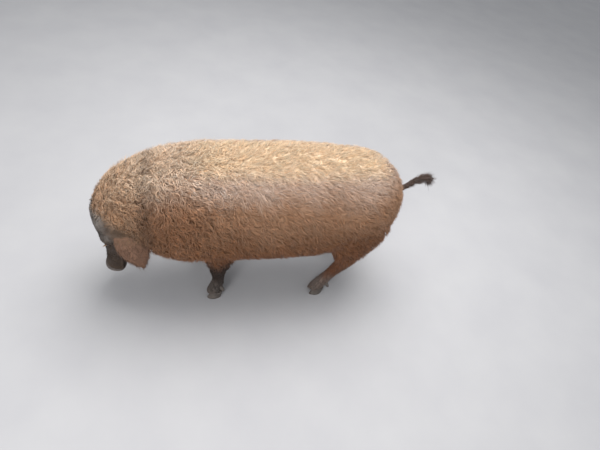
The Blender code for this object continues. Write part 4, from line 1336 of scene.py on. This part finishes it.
def make_coat(
    name, surface, roots, normals, lies, width, style, material, rng, gather=None, stray=0.1
):
    """Coat pieces of one style from their roots, split so that none grows too large."""
    rings = style["rings"]
    astray = rng.normal(0, stray, len(roots))
    if gather:
        astray = astray + gather["turn"]
    lies = turned(lies, normals, astray)
    line = tuft_lines(roots, normals, lies, style, rng, gather)
    points = tuft_points(line, normals, width, style["flat"], rings, style["taper"])
    shade = gather["shade"] if gather else None
    colours = tuft_colours(roots, normals, rings, style, rng, shade)
    uvs = tuft_patches(surface, roots, rings)
    locks = lock_places(len(roots), rings, rng)
    triangles = len(roots) * (6 * (rings - 1) + 4)
    pieces = math.ceil(triangles / PIECE_TRIANGLES)
    order = np.argsort(roots[:, 0])
    made = []
    for index, part in enumerate(np.array_split(order, pieces)):
        label = f"{name}_{index + 1}"
        rows = (values[part] for values in (points, colours, uvs, locks))
        made.append(coat_piece(label, *rows, rings, material))
    return made


FRINGE_REACH = 0.030


def poll_fringe(points):
    """An uneven edge between the wool of the poll and the short hair of the face."""
    ragged = points + np.array(HEAD_AXIS) * (FRINGE_REACH * (patches(points, 45.0, 5) - 0.5))[:, None]
    return short_face(ragged)


# Tufts: rings, length, turns of the curl, its reach and depth, how far a tuft is drawn to its
# group, how deep its root is sunk, its flatness and taper, and its painted shade at the root and
# paleness at the tip
CURLS = {
    "rings": 7, "length": 0.042, "turns": 1.55, "curl": 0.0052, "depth": 0.70, "pull": 0.38,
    "sunk": 0.003, "flat": 0.45, "taper": 2.4, "root_shade": 0.92, "tip_gold": 0.12,
}
BRISTLE = {
    "rings": 4, "length": 0.036, "turns": 0.75, "curl": 0.0021, "depth": 0.50, "pull": 0.10,
    "sunk": 0.003, "flat": 0.45, "taper": 2.0, "root_shade": 0.84, "tip_gold": 0.20,
}
SHORT_HAIR = {
    "rings": 3, "turns": 0.4, "curl": 0.0010, "depth": 0.4,
    "sunk": 0.0015, "flat": 0.5, "taper": 2.0, "root_shade": 0.75, "tip_gold": 0.25,
}
TASSEL_HAIR = {
    "rings": 6, "turns": 0.5, "curl": 0.0022, "depth": 0.5,
    "sunk": 0.002, "flat": 0.5, "taper": 2.0, "root_shade": 0.7, "tip_gold": 0.35,
}
LASH_HAIR = {
    "rings": 4, "length": 0.014, "turns": 0.2, "curl": 0.0006, "depth": 0.4,
    "sunk": 0.001, "flat": 0.6, "taper": 2.0, "root_shade": 0.7, "tip_gold": 0.2,
}
# Number of tufts, their width, the number of groups and how far tufts stray from the lie
CURL_COUNTS = (14100, 0.0019, 1100, 0.38)
BRISTLE_COUNTS = (29500, 0.00125, 3200, 0.22)
TASSEL_COUNT = 520
TASSEL_WIDTH = 0.0017
TASSEL_START = 0.22
LASHES_EACH = 26
LASH_WIDTH = 0.00045
LASH_RISE = 0.003
# Name, number, length, rise and width of the tufts of short hair
SHORT_COATS = (
    ("coat_face", 6500, 0.0125, 0.0018, 0.00060),
    ("coat_legs", 6000, 0.0190, 0.0036, 0.00090),
    ("coat_ears", 2800, 0.0140, 0.0022, 0.00065),
)
# No hair grows this close to the snout's end, the floor and the middle of an eye.
SNOUT_BARE = 0.014
HOOF_BARE = 0.030
EYE_BARE = 0.0190
# Share of the way from skin to clump tips that the wool rises
WOOL_RISE = 0.85
# Places ahead of the rump between which bristle turns to curls
CURLY_FADE = (0.66, 0.84)
# Coat depths between which wool starts, and short hair ends
WOOL_DEPTH = (0.0060, 0.0110)
HAIR_DEPTH = (0.0080, 0.0130)
# Wool is shorter close to an ear, below its top, and close to the face.
NEAR_EAR = (0.004, 0.055)
EAR_TOP = (0.43, 0.47)
NEAR_FACE = (-0.16, -0.07)
WIDTH_RANGES = {"wool": (0.75, 1.3), "hair": (0.8, 1.3), "tassel": (0.8, 1.2)}


def make_body_coat(surface, material, rng):
    """Curls on neck, shoulder and poll, wavy bristle over flank, back and rump."""
    middles = surface.middles
    woolly = fade(coat_depth(middles), *WOOL_DEPTH) * ~surface.on_ear
    woolly = woolly * (1 - poll_fringe(middles)) * ~on_tail(middles)
    patchy = 0.10 * (patches(middles, 9.0, 3) - 0.5)
    curly = fade(forward_of(middles) + patchy, *CURLY_FADE)
    made = []
    for name, style, weight, (count, width, groups, stray) in (
        ("coat_curls", CURLS, woolly * curly, CURL_COUNTS),
        ("coat_bristle", BRISTLE, woolly * (1 - curly), BRISTLE_COUNTS),
    ):
        roots, normals = surface.scatter(count, weight, rng)
        gather = gathers(surface, groups, weight, roots, rng)
        off_ear = fade(surface.ear_places(roots)[0], *NEAR_EAR)
        off_ear = np.maximum(off_ear, fade(roots[:, 2], *EAR_TOP))
        near_face = fade(along_head(roots), *NEAR_FACE) * fade(forward_of(roots), *POLL_FORWARD)
        shorter = 1 - 0.60 * near_face
        rise = coat_depth(roots) * (1 - SKIN_SHARE) * WOOL_RISE * shorter
        gather["size"] = gather["size"] * (0.45 + 0.55 * fade(rise, 0.004, 0.013))
        gather["size"] = gather["size"] * (0.35 + 0.65 * off_ear) * shorter
        widths = width * rng.uniform(*WIDTH_RANGES["wool"], count)
        lies = coat_lie(roots, normals)
        look = {**style, "rise": rise}
        coat = make_coat(
            name, surface, roots, normals, lies, widths, look, material, rng, gather, stray
        )
        made.extend(coat)
    return made


def make_short_coat(surface, eyes, material, rng):
    """Short hair on face, legs and ears."""
    middles = surface.middles
    bare = np.maximum(1 - fade(coat_depth(middles), *HAIR_DEPTH), short_face(middles))
    bare = bare * (along_head(middles) < SNOUT_END - SNOUT_BARE)
    bare = bare * (middles[:, 2] > HOOF_BARE) * ~on_tail(middles)
    mouth = segment_distance(along_head(middles), up_head(middles), MOUTH)
    bare = bare * np.maximum(fade(mouth, 0.003, 0.010), 1 - face_share(middles))
    for centre in eyes:
        bare = bare * (np.linalg.norm(middles - np.array(centre), axis=1) > EYE_BARE)
    bare = bare * ~surface.on_ear
    face = short_face(middles)
    weights = (bare * face, bare * (1 - face), surface.on_ear.astype(float))
    made = []
    for weight, (name, count, length, rise, width) in zip(weights, SHORT_COATS):
        roots, normals = surface.scatter(count, weight, rng)
        lies = coat_lie(roots, normals)
        style = {**SHORT_HAIR, "length": np.full(count, length), "rise": np.full(count, rise)}
        if name == "coat_face":
            style["length"] = length * (1 + 1.2 * (1 - fade(along_head(roots), -0.02, 0.10)))
        if name == "coat_ears":
            lies = along_skin(np.tile((0.25, 0.0, -1.0), (count, 1)), normals)
            style["colour"] = ear_colour(roots)
            facts = surface.ear_places(roots)[1]
            rim = fade(np.abs(facts[:, 1]), 0.65, 1.0)
            root = 1 - fade(facts[:, 0], 0.25, 0.50)
            style["length"] = length * (1 + 1.3 * rim + 1.2 * root * (1 - rim))
            style["rise"] = rise * (1 + 1.6 * root)
        widths = width * rng.uniform(*WIDTH_RANGES["hair"], count)
        made += make_coat(name, surface, roots, normals, lies, widths, style, material, rng)
    return made


def ear_colour(points):
    """Like the wool at the ear's root, then pinkish brown, and dark towards the tip."""
    colour = np.tile(POLL * 0.85, (len(points), 1))
    pink = EAR_PINK * (0.8 + 0.4 * patches(points, 40.0, 7))[:, None]
    colour = mix(colour, pink, 1 - fade(points[:, 2], 0.38, 0.44))
    return mix(colour, mix(DARK_RUST, BROWN, 0.4), 1 - fade(points[:, 2], 0.26, 0.36))


def make_tassel(surface, material, rng):
    """Flat locks along the tail, longer towards its end, that droop."""
    path, radii = tail_path()
    count = TASSEL_COUNT
    share = TASSEL_START + (1 - TASSEL_START) * rng.random(count) ** 0.7
    place = share * (len(path) - 1)
    low = np.minimum(place.astype(int), len(path) - 2)
    part = (place - low)[:, None]
    middle = path[low] * (1 - part) + path[low + 1] * part
    way = unit(path[low + 1] - path[low])
    side = unit(np.cross(way, np.tile((0, 0, 1.0), (count, 1))))
    over = np.cross(side, way)
    turn = rng.uniform(0, 2 * math.pi, count)[:, None]
    normals = side * np.cos(turn) + over * np.sin(turn)
    radius = np.interp(share, np.linspace(0, 1, len(path)), radii)[:, None]
    roots = middle + normals * radius * 0.8
    full = fade(share, 0.30, 0.75)
    style = {**TASSEL_HAIR, "length": 0.024 + 0.042 * full, "rise": 0.003 + 0.007 * full}
    lies = unit(way + np.array((0, 0, -1.0)) * (0.15 + 0.55 * rng.random(count))[:, None])
    lies = along_skin(lies, normals)
    widths = TASSEL_WIDTH * rng.uniform(*WIDTH_RANGES["tassel"], count)
    return make_coat("tassel", surface, roots, normals, lies, widths, style, material, rng)


# Eyes, lids and lashes

def eye_frame(skin_tree, side):
    """Where an eye's middle lies, which way it faces, and the directions along and across it."""
    start = head_point(EYE_ALONG, EYE_UP, 0.25 * side)
    _, normal, _, _ = skin_tree.ray_cast(start, Vector((0, -side, 0)))
    low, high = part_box("eye_left" if side < 0 else "eye_right")
    middle = (low + high) / 2 - SHIFT
    high_way = (HEAD_UP - normal * HEAD_UP.dot(normal)).normalized()
    return middle, normal, high_way.cross(normal), high_way


def make_eyeball(name, view, material):
    """A sphere whose own Z axis looks out of the socket."""
    middle, normal, long_way, high_way = view
    shell = bmesh.new()
    bmesh.ops.create_uvsphere(shell, u_segments=48, v_segments=32, radius=EYE_RADIUS)
    ball = add_object(name, mesh_from(name, shell))
    turn = Matrix((long_way, high_way, normal)).transposed()
    ball.matrix_world = Matrix.Translation(middle) @ turn.to_4x4()
    finish(ball, material)
    return ball


def eye_way(view, along, rise):
    """A direction out of the eyeball's middle, turned along and up from where it looks."""
    _, normal, long_way, high_way = view
    upward = normal * math.cos(rise) + high_way * math.sin(rise)
    return long_way * math.sin(along) + upward * math.cos(along)


LID_REACH = math.radians(72)
LID_OPEN = {1: math.radians(32), -1: math.radians(25)}
LID_BACK = math.radians(88)
LID_GAP = 0.0002
LID_LEAST = 0.0004
LID_THICKNESS = 0.0024
# Distances from the eyeball's middle between which the lid's dark rim fades
LID_RIM = (0.0128, 0.0150)
LID_STEPS = 30
LID_ACROSS = 9


def make_lids(name, view, material):
    """Two lids that wrap the eyeball and leave an almond opening, with soft dark edges."""
    middle = view[0]
    lids = []
    for side, opened in LID_OPEN.items():
        rings = []
        for i in range(LID_STEPS + 1):
            spread = 2 * i / LID_STEPS - 1
            edge = opened * max(0.0, math.cos(spread * math.pi / 2)) ** 0.8
            outer = []
            inner = []
            for k in range(LID_ACROSS):
                share = k / (LID_ACROSS - 1)
                rise = side * (edge + (LID_BACK - edge) * share)
                way = eye_way(view, spread * LID_REACH, rise)
                bulge = 0.25 + 0.75 * math.sin(math.pi * min(1.0, share * 1.6 + 0.08))
                outer.append(middle + way * (EYE_RADIUS + LID_LEAST + LID_THICKNESS * bulge))
                inner.append(middle + way * (EYE_RADIUS + LID_GAP))
            rings.append(outer + inner[::-1])
        lids.append(loft("lid", rings))
    lid = join(name, lids)
    points = points_of(lid.data)[0]
    rim = 1 - fade(np.linalg.norm(points - np.array(middle), axis=1), *LID_RIM)
    put_colour(lid.data, mix(np.tile(FACE_BROWN, (len(points), 1)), BROWN * 0.45, rim))
    finish(lid, material)
    return lid


def make_lashes(surface, views, material, rng):
    """Stiff pale lashes along the upper lids."""
    roots = []
    normals = []
    lies = []
    for view in views:
        middle, normal, long_way, high_way = view
        for spread in np.linspace(-0.75, 0.7, LASHES_EACH):
            edge = LID_OPEN[1] * math.cos(spread * math.pi / 2) ** 0.8 + 0.12
            way = eye_way(view, spread * LID_REACH, edge)
            roots.append(middle + way * (EYE_RADIUS + 0.0015))
            normals.append(way)
            lies.append(high_way * 0.35 + normal * 0.9 + long_way * (0.5 * spread))
    roots, normals, lies = np.array(roots), unit(np.array(normals)), unit(np.array(lies))
    count = len(roots)
    style = {**LASH_HAIR, "rise": np.full(count, LASH_RISE), "colour": np.tile(POLL, (count, 1))}
    widths = np.full(count, LASH_WIDTH)
    return make_coat("lashes", surface, roots, normals, lies, widths, style, material, rng)


# Snout disc and hooves

def disc_low():
    """The lowest corner of the solids' snout disc, in the pig's own frame."""
    points = []
    for ahead, share in SOLID_DISC_RINGS:
        along = SNOUT_END + DISC_GAP + ahead
        points += head_ring(along, DISC_REACH * share, DISC_POWER, SOLID_DISC_SIDES)
    return np.array(points).min(axis=0)


def make_disc(material):
    """The bare disc at the end of the snout: a raised rim, a shallow dish and two nostrils."""
    rings = [
        head_ring(SNOUT_END + ahead, DISC_REACH * share, DISC_POWER, DISC_SIDES)
        for ahead, share in DISC_RINGS
    ]
    disc = loft("snout_disc_skin", rings)
    front = SNOUT_END + DISC_RINGS[-1][0]
    for side in (-1, 1):
        place = (NOSTRIL_UP, NOSTRIL_OUT * side)
        cutter = [
            head_ring(front + depth, NOSTRIL_REACH * share, NOSTRIL_POWER, NOSTRIL_SIDES, *place)
            for depth, share in NOSTRIL_RINGS
        ]
        boolean(disc, "DIFFERENCE", [loft("nostril", cutter)])
    finish(disc, material, DISC_SHARP)
    return disc


def make_toe(name, foot, side):
    """One half of a cloven hoof, flat on the floor, with faint growth rings."""
    _, forward, out, _ = FEET[foot]
    rings = []
    for height, ahead, half_length, half_width in smooth_rows(TOE, 6):
        ridge = TOE_RING_DEPTH * math.sin(2 * math.pi * height / TOE_RINGS_EVERY)
        soft = TOE_ROUNDING * (1 - float(fade(height, 0.0, TOE_ROUND_HEIGHT)))
        ring = []
        for k in range(TOE_SIDES):
            turn = 2 * math.pi * k / TOE_SIDES
            front = max(0.0, math.cos(turn))
            x = -(ahead + (half_length + ridge - soft) * math.cos(turn))
            y = (half_width + ridge - soft) * math.sin(turn) * (1 - TOE_POINT * front * front)
            ring.append(Vector((x, y, height)))
        rings.append(ring)
    toe = loft(name, rings)
    place = body_point(forward, out + side * (TOE_WIDEST + TOE_CLEFT / 2), 0)
    toe.data.transform(Matrix.Translation(place) @ Matrix.Rotation(-side * TOE_SPLAY, 4, "Z"))
    return toe


def make_dewclaw(name, foot, side):
    """A small claw behind the pastern."""
    x = leg_centre(foot, DEWCLAW_HEIGHT)[0]
    out = FEET[foot][2]
    start = Vector((x + DEWCLAW_ROOT, out + side * DEWCLAW_OUT, DEWCLAW_HEIGHT))
    way = Vector((math.cos(DEWCLAW_SLOPE), side * DEWCLAW_SPREAD, -math.sin(DEWCLAW_SLOPE)))
    way.normalize()
    rows = smooth_rows(DEWCLAW, 4)
    points = [start + way * (share * DEWCLAW_LENGTH) for share in rows[:, 0]]
    return tube(name, points, rows[:, 1], DEWCLAW_SIDES)


def make_hooves(material):
    """Every toe and dewclaw, with the solid's node that it stands for."""
    made = {}
    for foot in FEET:
        for side, where in ((-1, "left"), (1, "right")):
            place = f"{foot}_{where}"
            made["toe_" + place] = make_toe("hoof_" + place, foot, side)
            made["dewclaw_" + place] = make_dewclaw("claw_" + place, foot, side)
    for hoof in made.values():
        finish(hoof, material, HOOF_SHARP)
    return made


# Stage

FLOOR_REACH = 20.0
ROOM_COLOUR = (0.93, 0.96, 1.0, 1)
ROOM_STRENGTH = 0.50
# Name, place, size and power of each lamp; all face the middle of the pig.
LAMPS = (
    ("overhead", (0.4, 0.6, 3.4), 2.6, 140.0),
    ("fill", (-2.2, -3.2, 2.2), 1.4, 72.0),
)
LAMP_TARGET = Vector((0, 0, 0.4))


def make_floor():
    shell = bmesh.new()
    bmesh.ops.create_grid(shell, x_segments=1, y_segments=1, size=FLOOR_REACH)
    floor = add_object("floor", mesh_from("floor", shell))
    floor.data.materials.append(floor_material())


def make_lights():
    """A wide soft light overhead, a low fill from the left, and a pale room."""
    world = bpy.data.worlds.new("room")
    world.use_nodes = True
    back = world.node_tree.nodes["Background"]
    back.inputs["Color"].default_value = ROOM_COLOUR
    back.inputs["Strength"].default_value = ROOM_STRENGTH
    bpy.context.scene.world = world
    bpy.context.scene.view_settings.view_transform = "Standard"
    for name, place, size, power in LAMPS:
        lamp = bpy.data.lights.new(name, "AREA")
        lamp.size = size
        lamp.energy = power
        light = add_object(name, lamp)
        light.location = place
        light.rotation_euler = (Vector(place) - LAMP_TARGET).to_track_quat("Z", "Y").to_euler()


def make_camera():
    """The camera, turned by heading, tilt and roll."""
    ahead = Vector(
        (
            math.sin(CAMERA_HEADING) * math.cos(CAMERA_TILT),
            math.cos(CAMERA_HEADING) * math.cos(CAMERA_TILT),
            -math.sin(CAMERA_TILT),
        )
    )
    level = Vector((math.cos(CAMERA_HEADING), -math.sin(CAMERA_HEADING), 0))
    right = level * math.cos(CAMERA_ROLL) + level.cross(ahead) * math.sin(CAMERA_ROLL)
    turn = Matrix((right, right.cross(ahead), -ahead)).transposed()
    data = bpy.data.cameras.new("camera")
    data.lens = CAMERA_LENS
    camera = add_object("camera", data)
    camera.matrix_world = Matrix.Translation(CAMERA_PLACE + SHIFT) @ turn.to_4x4()
    bpy.context.scene.camera = camera


def settle(obj, slot, *nodes):
    """Places a piece on the frame and hides the nodes that it stands for; the finish slot is not
    used.
    """
    obj.matrix_world = Matrix.Translation(SHIFT) @ obj.matrix_world
    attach(obj, "root")
    if nodes:
        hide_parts(*nodes)


# Painted shade: the skin is darker under the wool, and much darker in the crease of the mouth.
UNDER_WOOL_SHADE = 0.85
MOUTH_SHADE = 0.25
MOUTH_WIDTH = 0.0032


def paint_skin(skin, surface):
    """The body's colours on the skin, with painted shade under the wool and in the mouth's crease,
    pink on the ears.
    """
    points = surface.points
    colours = body_colour(points, surface.normals)
    shaded_under_wool = fade(coat_depth(points), 0.005, 0.012)
    on_flap = surface.ear_places(points)[0] < EAR_SKIN
    colours = mix(colours, colours * UNDER_WOOL_SHADE, shaded_under_wool * ~on_flap)
    # Painted shade along the crease of the mouth.
    mouth = segment_distance(along_head(points), up_head(points), MOUTH)
    in_mouth = face_share(points) * bump(mouth, 0, MOUTH_WIDTH) * (np.abs(points[:, 1]) > 0.01)
    colours = mix(colours, colours * MOUTH_SHADE, in_mouth)
    put_colour(skin.data, mix(colours, EAR_PINK, on_flap * 0.85))


FLESH = ["torso", "neck", "head", "lower_jaw", "ear_left", "ear_right", "tail"]
FLESH += ["leg_" + foot for foot in FEET]

disc_box_low, disc_box_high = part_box("snout_disc")
own_low = disc_low()
SHIFT = Vector((disc_box_low.x - own_low[0], (disc_box_low.y + disc_box_high.y) / 2, 0))

random_draws = np.random.default_rng(SEED)
coat = coat_material()
skin_looks = skin_material()
make_camera()
make_lights()
make_floor()

skin_object = make_skin()
finish(skin_object, skin_looks)
skin_surface = Surface(skin_object)
skin_tree = BVHTree.FromPolygons(skin_surface.points.tolist(), skin_surface.corners.tolist())
paint_skin(skin_object, skin_surface)

eye_views = [eye_frame(skin_tree, side) for side in (-1, 1)]
eye_looks = eye_material()
for eye_name, eye_view in zip(("eye_left", "eye_right"), eye_views):
    settle(make_eyeball(eye_name + "_ball", eye_view, eye_looks), "eyeball", eye_name)
    settle(make_lids(eye_name + "_lids", eye_view, skin_looks), "face")

settle(make_disc(disc_material()), "snout_skin", "snout_disc")
for node_name, hoof_object in make_hooves(hoof_material()).items():
    settle(hoof_object, "hoof_horn", node_name)

for piece in make_body_coat(skin_surface, coat, random_draws):
    settle(piece, "neck_coat" if "curls" in piece.name else "flank_coat")
for piece in make_short_coat(skin_surface, [view[0] for view in eye_views], coat, random_draws):
    settle(piece, "ear_skin" if "ears" in piece.name else "leg_coat")
for piece in make_tassel(skin_surface, coat, random_draws):
    settle(piece, "tail_hair")
for piece in make_lashes(skin_surface, eye_views, coat, random_draws):
    settle(piece, "face")
settle(skin_object, "face", *FLESH)
